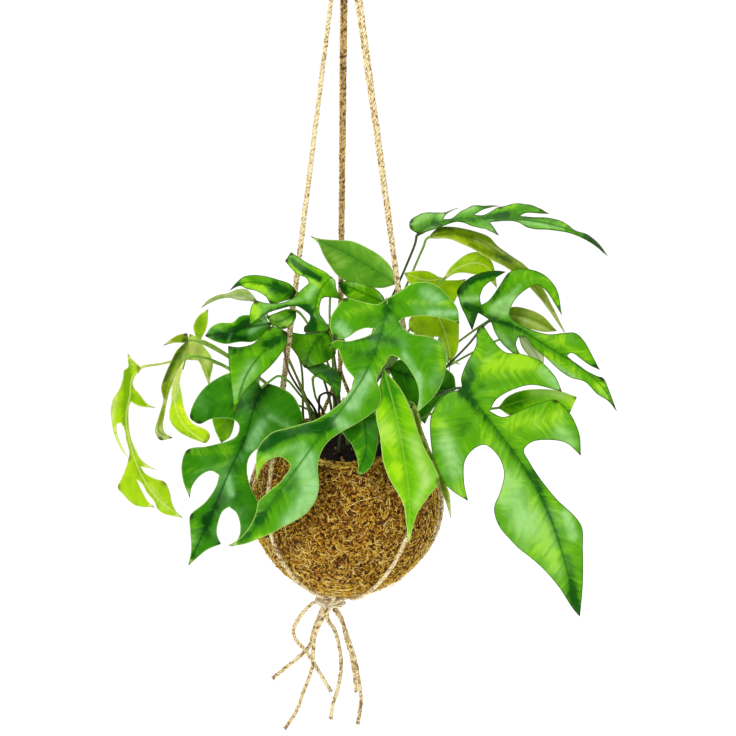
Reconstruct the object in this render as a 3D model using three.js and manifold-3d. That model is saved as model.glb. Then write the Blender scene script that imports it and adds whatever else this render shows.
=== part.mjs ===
// A hanging coir ball planter with a split-leaf climbing plant, held by three doubled jute cords.
// Millimetres. X is to the right, Y away from the viewer, Z up.
// The origin is the inside top of the hanging loop.
import * as THREE from "three";
import { mergeVertices } from "three/addons/utils/BufferGeometryUtils.js";
import Module from "manifold-3d";

const wasm = await Module();
wasm.setup();

// Driving dimensions of the pot
const BALL_RADIUS = 70;
const BALL_Z = -485.8; // centre of the ball
const RIM_HEIGHT = 52; // above the centre of the ball
const WALL = 6;
const SOIL_EDGE_DROP = 9; // below the rim, at the wall
const SOIL_DOME = 11;
const GAP = 0.3;

// Driving dimensions of the cords
const STRAND = 3; // diameter
const PAIR_SPREAD = 1.74; // half the distance between the two strands of a leg
const LEG_FOOT = 5.5; // from the axis to where a leg leaves the top knot
const LOOP_THICKNESS = 6;
const LEG_AXIS = 1.2; // x of the middle of the three legs at the top knot
const TOP_KNOT = { z: -74, size: [9, 8, 9] };
const SPLIT_Z = -402; // where the two strands of a leg part
const BOTTOM_KNOT = { at: [-12, -4, BALL_Z - 82.5], size: [12, 7, 5.2] };
const KNOT_ENTRY = 0.45; // angle above the level at which the strands reach the bottom knot, in radians
const END_GAP = 0.9; // from the end of a cord to the knot, so that the rim of the cord clears it

// Driving dimensions of the leaves
const BLADE_THICKNESS = 1.1;
const STALK_THICKNESS = 2.6;
const LEAF_FACET = 55; // longest triangle side in a blade

// A leaf outline is drawn in the front view, 0.725 mm to the unit, with x to the right and y down.
// The view looks down by 24 degrees from 1500 mm. VIEW.x and VIEW.z are the point at its centre.
const TILT = THREE.MathUtils.degToRad(24);
const VIEW = { centre: 368, unit: 0.725, distance: 1500, tilt: TILT, x: 16.7, z: -376.3 };

// depth: y at the base, the middle and the tip. side: slope, fold and cup across the blade.
// rib: points of the midrib. edge: points of the outline. stalk: points x, y, depth below the base.
// foot: x and y where the stalk enters the soil.
const leaves = [
  { name: "leaf_front_right", depth: [-44, -76, -98], side: [-0.1, -0.12, 0.003], foot: [16, -28],
    rib: [461,388, 476,404, 500,434, 527,472, 552,522, 580,617],
    edge: [461,388, 446,394, 432,412, 430,430, 433,458, 441,478, 452,491, 468,501, 464,482, 465,461, 474,449,
      485,445, 498,456, 504,473, 500,492, 494,508, 498,524, 515,545, 540,566, 558,586, 573,609, 580,617,
      583,582, 583,550, 582,527, 572,513, 556,498, 540,478, 529,461, 524,450, 532,442, 548,440, 566,443,
      581,456, 579,432, 569,412, 556,400, 539,403, 521,410, 503,417, 490,411, 496,400, 510,391, 532,385,
      562,392, 555,376, 542,362, 522,354, 505,352, 493,340, 483,325, 477,330, 476,345, 467,362, 461,378] },
  { name: "leaf_upper_right", depth: [-8, -28, -52], side: [-0.05, -0.1, 0.003],
    stalk: [[468, 345, -14], [448, 365, -16]],
    foot: [26, -10],
    rib: [490,321, 513,326, 545,345, 585,371, 605,390, 617,412],
    edge: [459,300, 457,291, 465,281, 480,273, 497,270.6, 506,271.8, 494,279, 484,287, 480,298, 481,305, 488,301,
      498,288, 507.6,273.6, 516,269, 528,269, 543,274, 556,288, 562,316, 554,303, 546,291, 537,285, 524,291,
      513,303, 510,315, 521,325, 547,334, 564,333, 575,333, 585,342, 595,361, 600,370, 589,365, 571,353,
      567,356, 580,367, 597,376, 603,378, 608,388, 617,412, 608,401, 597,394, 585,382, 572,378, 560,371,
      546,358, 533,347, 526,338, 519,336, 516,344, 522,357, 511,352, 502,344, 495,333, 490,321, 478,313,
      472,331, 466,317, 461,307] },
  { name: "leaf_top_right", depth: [24, 14, -6], side: [-3.0, 0, 0],
    stalk: [[415, 244, 30], [404, 271, 38]],
    foot: [6, 28],
    rib: [418,233, 430,225, 455,219, 485,218, 515,219, 545,223, 575,232, 595,244, 608,256],
    edge: [418,233, 410,228, 410,221, 418,216, 430,212, 445,212, 459,208, 447,214, 443,219, 452,218, 462,211,
      475,206, 500,206, 485,209, 474,215, 484,215, 497,208, 513,204, 526,204, 538,208, 549,214, 536,213,
      524,213, 520,216, 535,217, 550,218, 564,222, 575,230, 588,235, 599,244, 608,256, 593,244, 578,236,
      565,232, 550,230, 529,228, 517,222, 502,221, 490,222, 499,235, 487,230, 472,226, 457,222, 440,227,
      428,231] },
  { name: "leaf_below_top", depth: [12, 12, 8], side: [-1.5, 0, 0], stalk: [[423, 248, 20], [413, 271, 36]],
    foot: [14, 24],
    rib: [429,236, 455,234, 480,241, 505,258, 530,280, 548,307, 566,334],
    edge: [429,236, 438,228, 454,227, 470,230, 487,236, 500,248, 516,259, 530,270, 541,285, 553,307, 566,334,
      552,314, 536,294, 521,279, 506,267, 490,259, 470,248, 452,240, 438,238] },
  { name: "leaf_back_top", depth: [4, 12, 22], side: [0.3, 0, 0.002], foot: [4, 16],
    rib: [397,284, 375,270, 348,254, 310,236],
    edge: [397,284, 393,270, 382,257, 368,248, 352,241, 338,240, 323,239, 310,236, 318,243, 323,254, 330,266,
      338,276, 350,283, 366,287, 383,288] },
  { name: "leaf_star", depth: [-26, -33, -37], side: [-0.15, 0, 0.002],
    stalk: [[330, 300, -16], [330, 323, -6]],
    foot: [-4, 10],
    rib: [331,277, 322,287, 316,303, 318,318, 331,331],
    edge: [331,277, 327,273, 318,268, 308,263, 300,258, 291,252, 285,261, 290,267, 297,274, 306,278, 309,283,
      301,290, 293,298, 280,303, 266,303, 256,301, 251,307, 249,327, 257,320, 266,314, 280,309, 296,306,
      305,311, 310,316, 308,323, 304,327, 304,332, 316,332, 331,331, 325,321, 320,314, 320,305, 323,298,
      335,298, 344,301, 338,293, 336,286, 335,280] },
  { name: "leaf_arch", depth: [-27, -29, -31], side: [0.3, 0, 0.006],
    stalk: [[308, 308, -18], [314, 330, 0], [316, 352, 6]],
    foot: [-10, 13],
    rib: [296,292, 276,287, 252,282, 240,284, 229,291],
    edge: [296,292, 290,284, 276,279, 265,276, 252,275, 243,277, 236,283, 229,291, 240,286, 247,289, 256,291,
      266,297, 271,304, 284,301, 293,298] },
  { name: "leaf_arch_under", depth: [-2, -2, 2], side: [0.6, 0, 0], foot: [-24, -19],
    rib: [258,302, 243,296, 225,296, 209,301, 201,308],
    edge: [258,302, 252,294, 246,289, 238,289, 228,293, 218,295, 208,300, 201,308, 210,303, 220,299, 230,298,
      238,300, 249,301] },
  { name: "leaf_left_dark", depth: [-10, -24, -34], side: [0.4, 0, 0.002],
    stalk: [[285, 335, -4], [300, 360, 4]],
    foot: [-31, 5],
    rib: [272,323, 250,327, 230,332, 205,336],
    edge: [272,323, 262,319, 250,315, 240,316, 233,322, 219,323, 211,327, 205,336, 214,341, 225,344, 240,342,
      252,342, 262,336, 269,329] },
  { name: "leaf_small_bright", depth: [-24, -26, -28], side: [0.1, 0, 0], foot: [-6, 27],
    rib: [296,311, 287,318, 276,322, 266,317],
    edge: [296,311, 288,309, 278,312, 266,317, 274,325, 284,329, 291,325, 296,318] },
  { name: "leaf_left_pointed", depth: [-34, -52, -70], side: [0.15, -0.1, 0.004],
    stalk: [[285, 350, -31], [287, 366, -28], [297, 386, -10]],
    foot: [-21, 17],
    rib: [286,332, 264,351, 246,376, 234,417],
    edge: [286,332, 276,327, 269,327, 262,335, 254,343, 246,346, 237,347, 228,346, 229,367, 231,385, 233,402,
      234,417, 240,400, 248,388, 259,377, 270,367, 280,355, 287,343] },
  { name: "leaf_left_large", depth: [-37, -52, -68], side: [0.1, -0.12, 0.003],
    stalk: [[269, 382, -36], [278, 376, -34], [287, 380, -28], [296, 390, -14]],
    foot: [-22, 11],
    rib: [262,388, 254,408, 245,438, 230,470, 209,520, 188,566],
    edge: [262,388, 256,379, 244,373, 229,373, 214,380, 204,388, 196,399, 191,410, 190,418, 199,424, 212,419,
      234,420, 239,426, 237,435, 230,440, 208,446, 187,450, 182,463, 183,480, 190,498, 192,487, 200,476,
      211,471, 219,475, 216,486, 206,501, 190,516, 190,530, 191,550, 188,566, 196,559, 207,550, 221,544,
      217,533, 219,520, 223,511, 229,507, 236,513, 240,524, 239,536, 231,547, 245,538, 256,522, 259,506,
      251,488, 247,470, 249,458, 256,450, 275,441, 292,433, 303,424, 299,406, 291,394, 277,386, 268,384] },
  { name: "leaf_centre_large", depth: [-34, -66, -84], side: [0, -0.1, 0.002], foot: [2, -14],
    rib: [388,298, 382,330, 368,368, 350,398, 325,430, 294,472, 268,508, 256,527, 245,538, 228,546],
    edge: [388,298, 378,304, 368,303, 356,300, 345,298, 337,307, 331,317, 330,327, 334,337, 343,339, 350,336,
      357,331, 366,328, 375,329, 370,334, 360,338, 348,341, 337,340, 328,345, 333,351, 338,349, 341,358,
      347,370, 354,379, 351,389, 343,400, 333,409, 322,416, 311,421, 291,427, 275,431, 263,440, 257,450,
      256,465, 257,483, 260,471, 267,461, 279,457, 287,461, 290,466, 281,481, 269,491, 258,502, 256,512,
      250,526, 240,538, 228,546, 241,545, 261,538, 278,530, 294,522, 308,512, 316,500, 319,486, 318,466,
      322,451, 330,440, 342,432, 358,423, 370,415, 378,408, 381,400, 380,390, 377,380, 380,372, 386,363,
      390,356, 397,357, 405,363, 412,373, 418,386, 419,400, 416,414, 427,404, 437,393, 443,381, 446,366,
      446,353, 443,345, 437,340, 428,336, 413,334, 404,329, 399,321, 404,318, 422,316, 436,317, 449,320,
      460,324, 457,308, 449,297, 439,287, 427,282, 413,283, 400,291] },
  { name: "leaf_centre_bright", depth: [-44, -66, -74], side: [-0.1, -0.1, 0.003], foot: [10, -22],
    rib: [384,370, 395,410, 403,450, 409,495, 409,545],
    edge: [384,370, 380,382, 378,395, 376,415, 380,437, 383,461, 389,478, 397,492, 404,506, 406,523, 409,545,
      413,527, 418,512, 428,497, 439,481, 434,466, 425,449, 418,431, 413,415, 402,391, 392,378] },
  { name: "leaf_sliver", depth: [-44, -56, -60], side: [0.8, 0, 0], foot: [14, -17],
    rib: [411,403, 427,446, 441,479, 451,519],
    edge: [411,403, 418,434, 429,458, 438,478, 441,490, 446,503, 451,519, 449,492, 440,473, 433,456, 424,436,
      416,408] },
  { name: "leaf_centre_dark", depth: [-42, -56, -64], side: [0.2, 0.1, 0.006], foot: [-4, -26],
    rib: [362,398, 365,425, 366,450, 357,476],
    edge: [362,398, 350,412, 340,428, 346,438, 352,445, 356,455, 358,464, 357,476, 366,472, 373,463, 376,452,
      378,440, 378,428, 374,412] },
  { name: "leaf_centre_curved", depth: [-16, -22, -30], side: [-0.3, 0, 0], stalk: [[315, 395, -2]],
    foot: [-16, 22],
    rib: [314,375, 321,373, 332,382, 336,401],
    edge: [305,367, 309,363, 316,361, 325,364, 334,369, 341,374, 341,386, 340,394, 336,401, 334,392, 329,385,
      322,380, 314,375] },
  { name: "leaf_centre_olive", depth: [-7.4, -11.4, -17.4], side: [0.1, 0.05, 0], foot: [-8, 4],
    rib: [328,331, 316,342, 309,354, 305,368],
    edge: [328,331, 317,333, 303,334, 287,331, 286,341, 293,350, 300,360, 305,368, 314,366, 324,363, 331,359,
      336,353, 332,342] },
  { name: "leaf_far_left", depth: [-10, -22, -34], side: [0.2, 0, 0.01],
    stalk: [[146, 366, -9], [160, 364, -5], [184, 359, 2], [212, 362, 4], [230, 370, 2], [262, 392, -2]],
    foot: [-29, 10],
    rib: [140,368, 132,378, 130,395, 126,418, 131,447, 140,472, 157,498, 183,518],
    edge: [140,368, 133,359, 128,353, 128,361, 128,367, 124,370, 122,380, 119,389, 112,400, 110,412, 112,426,
      116,440, 121,450, 128,458, 120,443, 117,431, 117,424, 121,423, 124,429, 126,441, 129,452, 128,460,
      122,477, 118,487, 123,494, 130,502, 138,507, 155,508, 148,502, 141,489, 137,480, 142,484, 147,493,
      154,502, 158,510, 164,514, 183,518, 176,511, 172,502, 170,493, 165,482, 154,478, 145,473, 141,467,
      147,468, 156,470, 148,465, 141,459, 136,450, 131,438, 129,426, 129,407, 131,402, 139,406, 156,408,
      147,403, 140,394, 134,387, 133,382, 136,375] },
  { name: "leaf_left_tendril", depth: [-18, -28, -34], side: [0.5, 0, 0], foot: [-30, -8],
    rib: [189,340, 174,366, 165,392, 162,415, 159,431, 173,438],
    edge: [189,340, 187,333, 178,335, 170,340, 163,346, 175,343, 184,343, 177,350, 170,363, 164,377, 161,388,
      163,400, 160,412, 157,422, 155,431, 160,440, 173,438, 166,434, 163,427, 165,413, 167,402, 170,390,
      175,377, 182,364, 188,356] },
  { name: "leaf_left_pale", depth: [-4, -8, -14], side: [0.5, 0, 0], foot: [-32, 0],
    rib: [201,341, 199,352, 205,366, 209,386],
    edge: [201,341, 206,330, 208,318, 208,309, 198,316, 193,327, 195,336, 189,334, 187,350, 188,358, 198,361,
      203,371, 209,386, 211,375, 213,365, 211,356, 206,349] },
  { name: "leaf_left_yellow", depth: [-30, -44, -54], side: [0.3, 0, 0.01],
    stalk: [[201, 357, -22], [229, 368, -8], [262, 392, -11]],
    foot: [-28, -12],
    rib: [185,358, 177,380, 175,404, 184,425, 206,443],
    edge: [185,358, 177,372, 172,386, 171,402, 169,415, 171,423, 178,431, 188,437, 198,441, 206,443, 210,437,
      208,431, 201,427, 194,424, 188,417, 184,407, 182,395, 180,383, 182,371] },
  { name: "leaf_right_yellow", depth: [16, 14, 10], side: [-0.4, 0, 0.006], foot: [24, 16],
    rib: [443,279, 460,267, 478,263, 491,271, 497,288],
    edge: [443,279, 449,269, 458,260, 467,254, 476,252, 485,255, 492,262, 495,271, 497,288, 490,281, 484,277,
      472,274, 458,273] },
  { name: "leaf_right_behind", depth: [24, 22, 20], side: [0.2, 0, 0.004], foot: [18, 18],
    rib: [442,279, 425,280, 404,273],
    edge: [442,279, 436,275, 427,271, 413,271, 404,273, 410,284, 420,293, 436,301, 452,307, 457,297, 461,288,
      466,279, 455,280] },
  { name: "leaf_right_hanging", depth: [2, -4, -10], side: [-0.1, 0, 0.003], foot: [25, -2],
    rib: [436,312, 444,330, 449,348, 451,359, 461,365],
    edge: [436,312, 447,311, 457,316, 459,338, 457,352, 453,359, 461,365, 449,361, 446,350, 440,338, 424,336,
      410,330, 410,318, 424,313] },
  { name: "leaf_right_olive", depth: [6, 0, -8], side: [-0.3, 0, 0], foot: [31, 2],
    rib: [504,313, 528,317, 557,331],
    edge: [504,313, 512,307, 528,309, 543,316, 557,331, 545,332, 534,330, 520,326, 510,320] },
  { name: "leaf_right_small", depth: [12, 10, 6], side: [-0.2, 0, 0], foot: [30, 9],
    rib: [518,334, 530,345, 543,366],
    edge: [518,334, 522,347, 531,358, 543,366, 544,357, 539,346, 530,337] },
  { name: "leaf_right_low", depth: [-22, -30, -38], side: [-0.3, 0, 0.002],
    stalk: [[440, 412, -33], [420, 418, -33]],
    foot: [22, -24],
    rib: [498,408, 525,400, 553,397, 570,413],
    edge: [498,408, 507,397, 520,391, 542,389, 560,391, 577,397, 570,413, 560,405, 545,402, 528,411,
      512,416] },
  { name: "leaf_right_dark", depth: [-29, -30, -30], side: [0, 0, 0], foot: [11, -10],
    rib: [388,369, 410,376, 432,386, 456,390],
    edge: [388,369, 396,361, 415,359, 435,362, 447,369, 454,376, 456,390, 447,394, 438,402, 431,412, 425,424,
      418,418, 408,402, 397,385] },
  { name: "leaf_centre_small", depth: [-14, -16, -20], side: [0.2, 0, 0], foot: [8, 4],
    rib: [387,304, 366,294, 338,282],
    edge: [387,304, 383,296, 376,289, 364,284, 352,281, 338,282, 342,292, 350,299, 362,302, 374,306] },
  { name: "leaf_left_olive", depth: [-14, -18, -22], side: [0.1, 0.1, 0], foot: [-20, -2],
    rib: [224,398, 225,420, 221,443],
    edge: [224,398, 213,404, 212,418, 215,430, 221,443, 230,437, 235,418, 234,402] },
  { name: "leaf_back_1", of: "leaf_front_right", turn: 89, grow: 0.82, lean: 22, out: -5, raise: -43,
    foot: [5, 21], stalk: [] },
  { name: "leaf_back_2", of: "leaf_centre_bright", turn: 149, grow: 0.94, lean: 1, out: 31, raise: -81,
    foot: [2, 25], stalk: [] },
  { name: "leaf_back_3", of: "leaf_left_large", turn: 285, grow: 0.8, lean: 9, out: 10, raise: 9,
    foot: [-25, 13], stalk: [] },
  { name: "leaf_back_4", of: "leaf_front_right", turn: 75, grow: 0.81, lean: 28, out: -7, raise: 6,
    foot: [26, 11], stalk: [] },
  { name: "leaf_back_5", of: "leaf_left_large", turn: 279, grow: 0.84, lean: 19, out: 20, raise: -57,
    foot: [-15, 14], stalk: [] },
  { name: "leaf_back_6", of: "leaf_centre_bright", turn: 131, grow: 1.06, lean: -9, out: 6, raise: -52,
    foot: [-4, 21], stalk: [] },
  { name: "leaf_back_7", of: "leaf_centre_dark", turn: 191, grow: 1.08, lean: -20, out: -18, raise: 30,
    foot: [-5, 15], stalk: [] },
  { name: "leaf_back_8", of: "leaf_left_pointed", turn: 151, grow: 0.84, lean: -7, out: 16, raise: -78,
    foot: [29, -6], stalk: [] },
  { name: "leaf_back_9", of: "leaf_left_pointed", turn: 206, grow: 0.88, lean: 9, out: -14, raise: -44,
    foot: [19, 23], stalk: [] },
];

const { sin, cos, asin, atan2, PI, sqrt, max, min, hypot } = Math;
const V = (x, y, z) => new THREE.Vector3(x, y, z);
const rad = THREE.MathUtils.degToRad;

function soilHeight(x, y) {
  const r = min(1, hypot(x, y) / (BALL_RADIUS - WALL));
  return BALL_Z + RIM_HEIGHT - SOIL_EDGE_DROP + SOIL_DOME * (1 - r * r);
}

// The point at depth y that shows at px, py in the front view
function lift(px, py, y) {
  const dx = ((px - VIEW.centre) * VIEW.unit) / VIEW.distance;
  const dy = ((VIEW.centre - py) * VIEW.unit) / VIEW.distance;
  const c = cos(VIEW.tilt), s = sin(VIEW.tilt);
  const t = (y + VIEW.distance * c) / (c + dy * s);
  return V(VIEW.x + t * dx, y, VIEW.z + VIEW.distance * s + t * (dy * c - s));
}

const pairs = (list) =>
  Array.from({ length: list.length / 2 }, (_, i) => [list[2 * i], list[2 * i + 1]]);

// The depth of a leaf over a point of the front view
function depthOf(leaf) {
  const rib = pairs(leaf.rib);
  const [bx, by] = rib[0], [tx, ty] = rib[rib.length - 1];
  const length = hypot(tx - bx, ty - by), ux = (tx - bx) / length, uy = (ty - by) / length;
  const along = ([x, y]) => (x - bx) * ux + (y - by) * uy;
  const across = ([x, y]) => -(x - bx) * uy + (y - by) * ux;
  const line = rib.map((p) => [along(p), across(p)]);
  const [near, middle, far] = leaf.depth, [slope, fold, cup] = leaf.side;
  return (x, y) => {
    const u = along([x, y]);
    let k = 0;
    while (k < line.length - 2 && u > line[k + 1][0]) k++;
    const f = max(0, min(1, (u - line[k][0]) / max(1e-6, line[k + 1][0] - line[k][0])));
    const w = (across([x, y]) - line[k][1] - f * (line[k + 1][1] - line[k][1])) * VIEW.unit;
    const s = max(-0.5, min(1.2, u / length));
    const main = near + (4 * middle - 3 * near - far) * s + (2 * near + 2 * far - 4 * middle) * s * s;
    return main + slope * w + fold * (sqrt(w * w + 4) - 2) + cup * w * w;
  };
}

// A closed solid from shared points and triangles
function solid(points, triangles) {
  return new wasm.Manifold(
    new wasm.Mesh({
      numProp: 3,
      vertProperties: new Float32Array(points.flat()),
      triVerts: new Uint32Array(triangles.flat()),
    }),
  );
}

function solidOf(geometry) {
  const g = geometry.clone();
  g.deleteAttribute("normal");
  g.deleteAttribute("uv");
  const merged = mergeVertices(g, 1e-3);
  return new wasm.Manifold(
    new wasm.Mesh({
      numProp: 3,
      vertProperties: merged.attributes.position.array,
      triVerts: merged.index.array,
    }),
  );
}

function geometryOf(body) {
  const mesh = body.getMesh();
  const g = new THREE.BufferGeometry();
  const n = mesh.numProp, count = mesh.numVert;
  const position = new Float32Array(count * 3);
  for (let i = 0; i < count; i++)
    position.set(mesh.vertProperties.subarray(i * n, i * n + 3), 3 * i);
  g.setAttribute("position", new THREE.BufferAttribute(position, 3));
  g.setIndex(new THREE.BufferAttribute(mesh.triVerts, 1));
  g.computeVertexNormals();
  return g;
}

// The flat outline, cut in two along the midrib and given a thickness of two units, bent into the blade
function blade(leaf, place) {
  const edge = pairs(leaf.edge), rib = pairs(leaf.rib);
  const at = (p) => edge.findIndex((q) => q[0] === p[0] && q[1] === p[1]);
  const turned = edge.slice(at(rib[0])).concat(edge.slice(0, at(rib[0])));
  const tip = (at(rib[rib.length - 1]) - at(rib[0]) + edge.length) % edge.length;
  const inner = rib.slice(1, -1);
  const points = turned.concat(inner);
  const ribIndex = [0, ...inner.map((_, i) => turned.length + i), tip];
  const halves = [
    [...Array(tip + 1).keys(), ...ribIndex.slice(1, -1).reverse()],
    [...ribIndex, ...Array.from({ length: turned.length - tip - 1 }, (_, i) => tip + 1 + i)],
  ];
  const faces = halves.flatMap((half) => {
    const flat = half.map((i) => new THREE.Vector2(points[i][0], -points[i][1]));
    return THREE.ShapeUtils.triangulateShape(flat, []).map((t) => {
      const face = t.map((i) => half[i]);
      const [a, b, c] = face.map((i) => points[i]);
      const left = (b[0] - a[0]) * (a[1] - c[1]) - (a[1] - b[1]) * (c[0] - a[0]) > 0;
      return left ? face : [face[0], face[2], face[1]];
    });
  });
  const n = points.length, loop = turned.map((_, i) => i);
  if (THREE.ShapeUtils.area(turned.map((p) => new THREE.Vector2(p[0], -p[1]))) < 0) loop.reverse();
  const sheet = [1, -1].flatMap((z) => points.map(([x, y]) => [x, -y, z]));
  const triangles = [
    ...faces,
    ...faces.map(([a, b, c]) => [a + n, c + n, b + n]),
    ...loop.flatMap((a, k) => {
      const b = loop[(k + 1) % loop.length];
      return [[a, a + n, b], [b, a + n, b + n]];
    }),
  ];
  const flat = solid(sheet, triangles).refineToLength(LEAF_FACET / VIEW.unit);
  const depth = depthOf(leaf);
  const surface = (x, y) => place(lift(x, y, depth(x, y)));
  return flat.warp((p) => {
    const x = p[0], y = -p[1], h = 0.5;
    const du = surface(x + h, y).sub(surface(x - h, y));
    const dv = surface(x, y - h).sub(surface(x, y + h));
    const q = surface(x, y).addScaledVector(du.cross(dv).normalize(), (p[2] * BLADE_THICKNESS) / 2);
    p[0] = q.x;
    p[1] = q.y;
    p[2] = q.z;
  });
}

// A round cord or stalk along a curve, with flat ends
function tube(curve, thickness, sides, steps) {
  const ring = new THREE.Shape(
    Array.from({ length: sides }, (_, i) => {
      const a = (2 * PI * i) / sides;
      return new THREE.Vector2((cos(a) * thickness) / 2, (sin(a) * thickness) / 2);
    }),
  );
  return new THREE.ExtrudeGeometry(ring, { steps, extrudePath: curve, bevelEnabled: false });
}

const curveOf = (points, closed = false) => new THREE.CatmullRomCurve3(points, closed, "centripetal");

// The stalk from the soil to the base, running on under the first part of the midrib
function stalk(leaf, place) {
  const rib = pairs(leaf.rib), depth = depthOf(leaf);
  const under = (x, y) => place(lift(x, y, depth(x, y) + 0.4));
  const base = under(...rib[0]);
  const into = under((rib[0][0] + rib[1][0]) / 2, (rib[0][1] + rib[1][1]) / 2);
  const [fx, fy] = leaf.foot;
  const foot = V(fx, fy, soilHeight(fx, fy) + GAP);
  const via = (leaf.stalk ?? []).map(([x, y, d]) => place(lift(x, y, d)));
  const first = via.length ? via[via.length - 1] : base;
  const lean = V((first.x - foot.x) * 0.06, (first.y - foot.y) * 0.06, max(8, (first.z - foot.z) * 0.3));
  const rise = foot.clone().add(lean);
  const points = [foot, foot.clone().add(V(0, 0, 2.5)), rise, ...via.reverse(), base, into];
  return tube(curveOf(points), STALK_THICKNESS, 6, 9 + 2 * via.length);
}

// A leaf of the back is another leaf turned about Z, after it is scaled by grow, leaned about its base,
// and moved outwards and up
function placing({ rib, depth, turn = 0, grow = 1, lean = 0, out = 0, raise = 0 }) {
  const base = lift(rib[0], rib[1], depth[0]);
  const radial = V(base.x, base.y, 0).normalize(), hinge = V(-radial.y, radial.x, 0);
  return (p) =>
    p.sub(base).multiplyScalar(grow).applyAxisAngle(hinge, rad(lean)).add(base)
      .addScaledVector(radial, out).add(V(0, 0, raise)).applyAxisAngle(V(0, 0, 1), rad(turn));
}

const group = new THREE.Group();
const looks = {
  coir: { color: 0xa8702a, roughness: 1 },
  soil: { color: 0x2a160c, roughness: 1 },
  jute: { color: 0xd8b98a, roughness: 0.95 },
  leaf: { color: 0x4fa31a, roughness: 0.45, side: THREE.DoubleSide },
  stem: { color: 0x6f8426, roughness: 0.6 },
  root: { color: 0x1c120c, roughness: 0.8 },
};

function add(name, geometry, look) {
  const mesh = new THREE.Mesh(geometry, new THREE.MeshStandardMaterial(look));
  mesh.name = name;
  group.add(mesh);
}

// The pot is one thick shell, turned about Z and open at the top
function pot() {
  const outer = BALL_RADIUS, inner = BALL_RADIUS - WALL, top = RIM_HEIGHT;
  const arc = (r, from, to, count) =>
    Array.from({ length: count + 1 }, (_, i) => {
      const a = from + ((to - from) * i) / count;
      return [i === 0 && from === -PI / 2 ? 0 : r * cos(a), r * sin(a)];
    });
  const out = arc(outer, -PI / 2, asin(top / outer) - 0.03, 14);
  const ins = arc(inner, asin(top / inner) - 0.03, -PI / 2, 9);
  ins[ins.length - 1][0] = 0;
  const lip = [
    [sqrt(outer * outer - top * top) - 3, top + 0.6],
    [sqrt(inner * inner - top * top) + 1.5, top],
  ];
  const profile = [...out, ...lip, ...ins].map(([r, z]) => new THREE.Vector2(max(0, r), z));
  const g = new THREE.LatheGeometry(profile, 30).rotateX(PI / 2);
  return g.translate(0, 0, BALL_Z);
}

// Soil fills the shell from its floor to a low dome
function soil() {
  const r = BALL_RADIUS - WALL - 0.7;
  const edge = RIM_HEIGHT - SOIL_EDGE_DROP;
  const last = asin(edge / r);
  const side = Array.from({ length: 9 }, (_, i) => {
    const a = -PI / 2 + ((last + PI / 2) * i) / 8;
    return new THREE.Vector2(i ? (r - 0.3) * cos(a) : 0, (r - 0.3) * sin(a));
  });
  const reach = side[side.length - 1].x;
  const top = [0.7, 0.4, 0].map((f) => new THREE.Vector2(f * reach, soilHeight(f * reach, 0) - BALL_Z));
  return new THREE.LatheGeometry([...side, ...top], 30).rotateX(PI / 2).translate(0, 0, BALL_Z);
}

// Each leg leaves the top knot as a twisted pair, which parts above the rim into two strands round the ball.
// heading: direction of the leg in degrees. goal: the point that the pair runs straight towards.
// latitude and touch: where the two strands first lie on the ball. end: their directions near the bottom knot.
// turn: how the two strands lie round each other at the top and at the split, in degrees
const legs = [
  { name: "left", heading: 198.5, goal: [-56, -20.7, -472], turn: [20, -8], latitude: 20, touch: [214, 176],
    end: [248, 185] },
  { name: "right", heading: -24.5, goal: [60.3, -27, -472], turn: [-72, -34], latitude: 11, touch: [-2, -47],
    end: [-8, -85] },
  { name: "back", heading: 94, goal: [-5.5, 66.2, -472], turn: [52, 78], latitude: 11, touch: [114, 74],
    end: [128, 56] },
];

function onBall(heading, latitude, r) {
  const h = rad(heading), reach = r * cos(rad(latitude));
  return V(reach * cos(h), reach * sin(h), BALL_Z + r * sin(rad(latitude)));
}

// The point a little outside the bottom knot in a direction from its middle
function outside(toward, clear) {
  const [sx, sy, sz] = BOTTOM_KNOT.size, d = toward.clone().normalize();
  const reach = 1 / hypot(d.x / sx, d.y / sy, d.z / sz);
  return V(...BOTTOM_KNOT.at).addScaledVector(d, reach + clear);
}

function strandPoints(leg, which) {
  const spread = PAIR_SPREAD * (which ? -1 : 1), r = BALL_RADIUS + STRAND / 2 + 1.5 * GAP;
  const out = V(cos(rad(leg.heading)), sin(rad(leg.heading)), 0);
  const side = V(-out.y, out.x, 0);
  const goal = V(...leg.goal);
  const start = out.clone().multiplyScalar(LEG_FOOT).add(V(LEG_AXIS, 0, TOP_KNOT.z));
  const down = goal.clone().sub(start);
  const share = (start.z - SPLIT_Z) / (start.z - goal.z);
  const points = [];
  const count = 38;
  for (let i = 0; i <= count; i++) {
    const f = i / count, a = rad(leg.turn[0] + (leg.turn[1] - leg.turn[0]) * f);
    const p = start.clone().addScaledVector(down, share * f);
    points.push(p.addScaledVector(side, spread * cos(a)).addScaledVector(out, spread * sin(a)));
  }
  // The strand starts just under the knot, so the points above that are left out
  const [sx, sy, sz] = TOP_KNOT.size, first = points[0];
  const inner = 1 - STRAND / 2 / hypot(first.x, first.y);
  const under = TOP_KNOT.z - GAP - sz * sqrt(1 - (first.x * inner / sx) ** 2 - (first.y * inner / sy) ** 2);
  while (points[1].z > under - 3) points.splice(1, 1);
  points[0].z = under;
  const headings = [leg.touch[which], leg.end[which]];
  for (let i = 0; i <= 9; i++) {
    const f = i / 9, latitude = leg.latitude + (-70 - leg.latitude) * f;
    points.push(onBall(headings[0] + (headings[1] - headings[0]) * f, latitude, r));
  }
  const last = points[points.length - 1], knot = V(...BOTTOM_KNOT.at);
  const toward = V(last.x - knot.x, last.y - knot.y, 0).normalize().multiplyScalar(cos(KNOT_ENTRY));
  toward.z = sin(KNOT_ENTRY);
  points.push(outside(toward, 3.4), outside(toward, END_GAP));
  return points;
}

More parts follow.
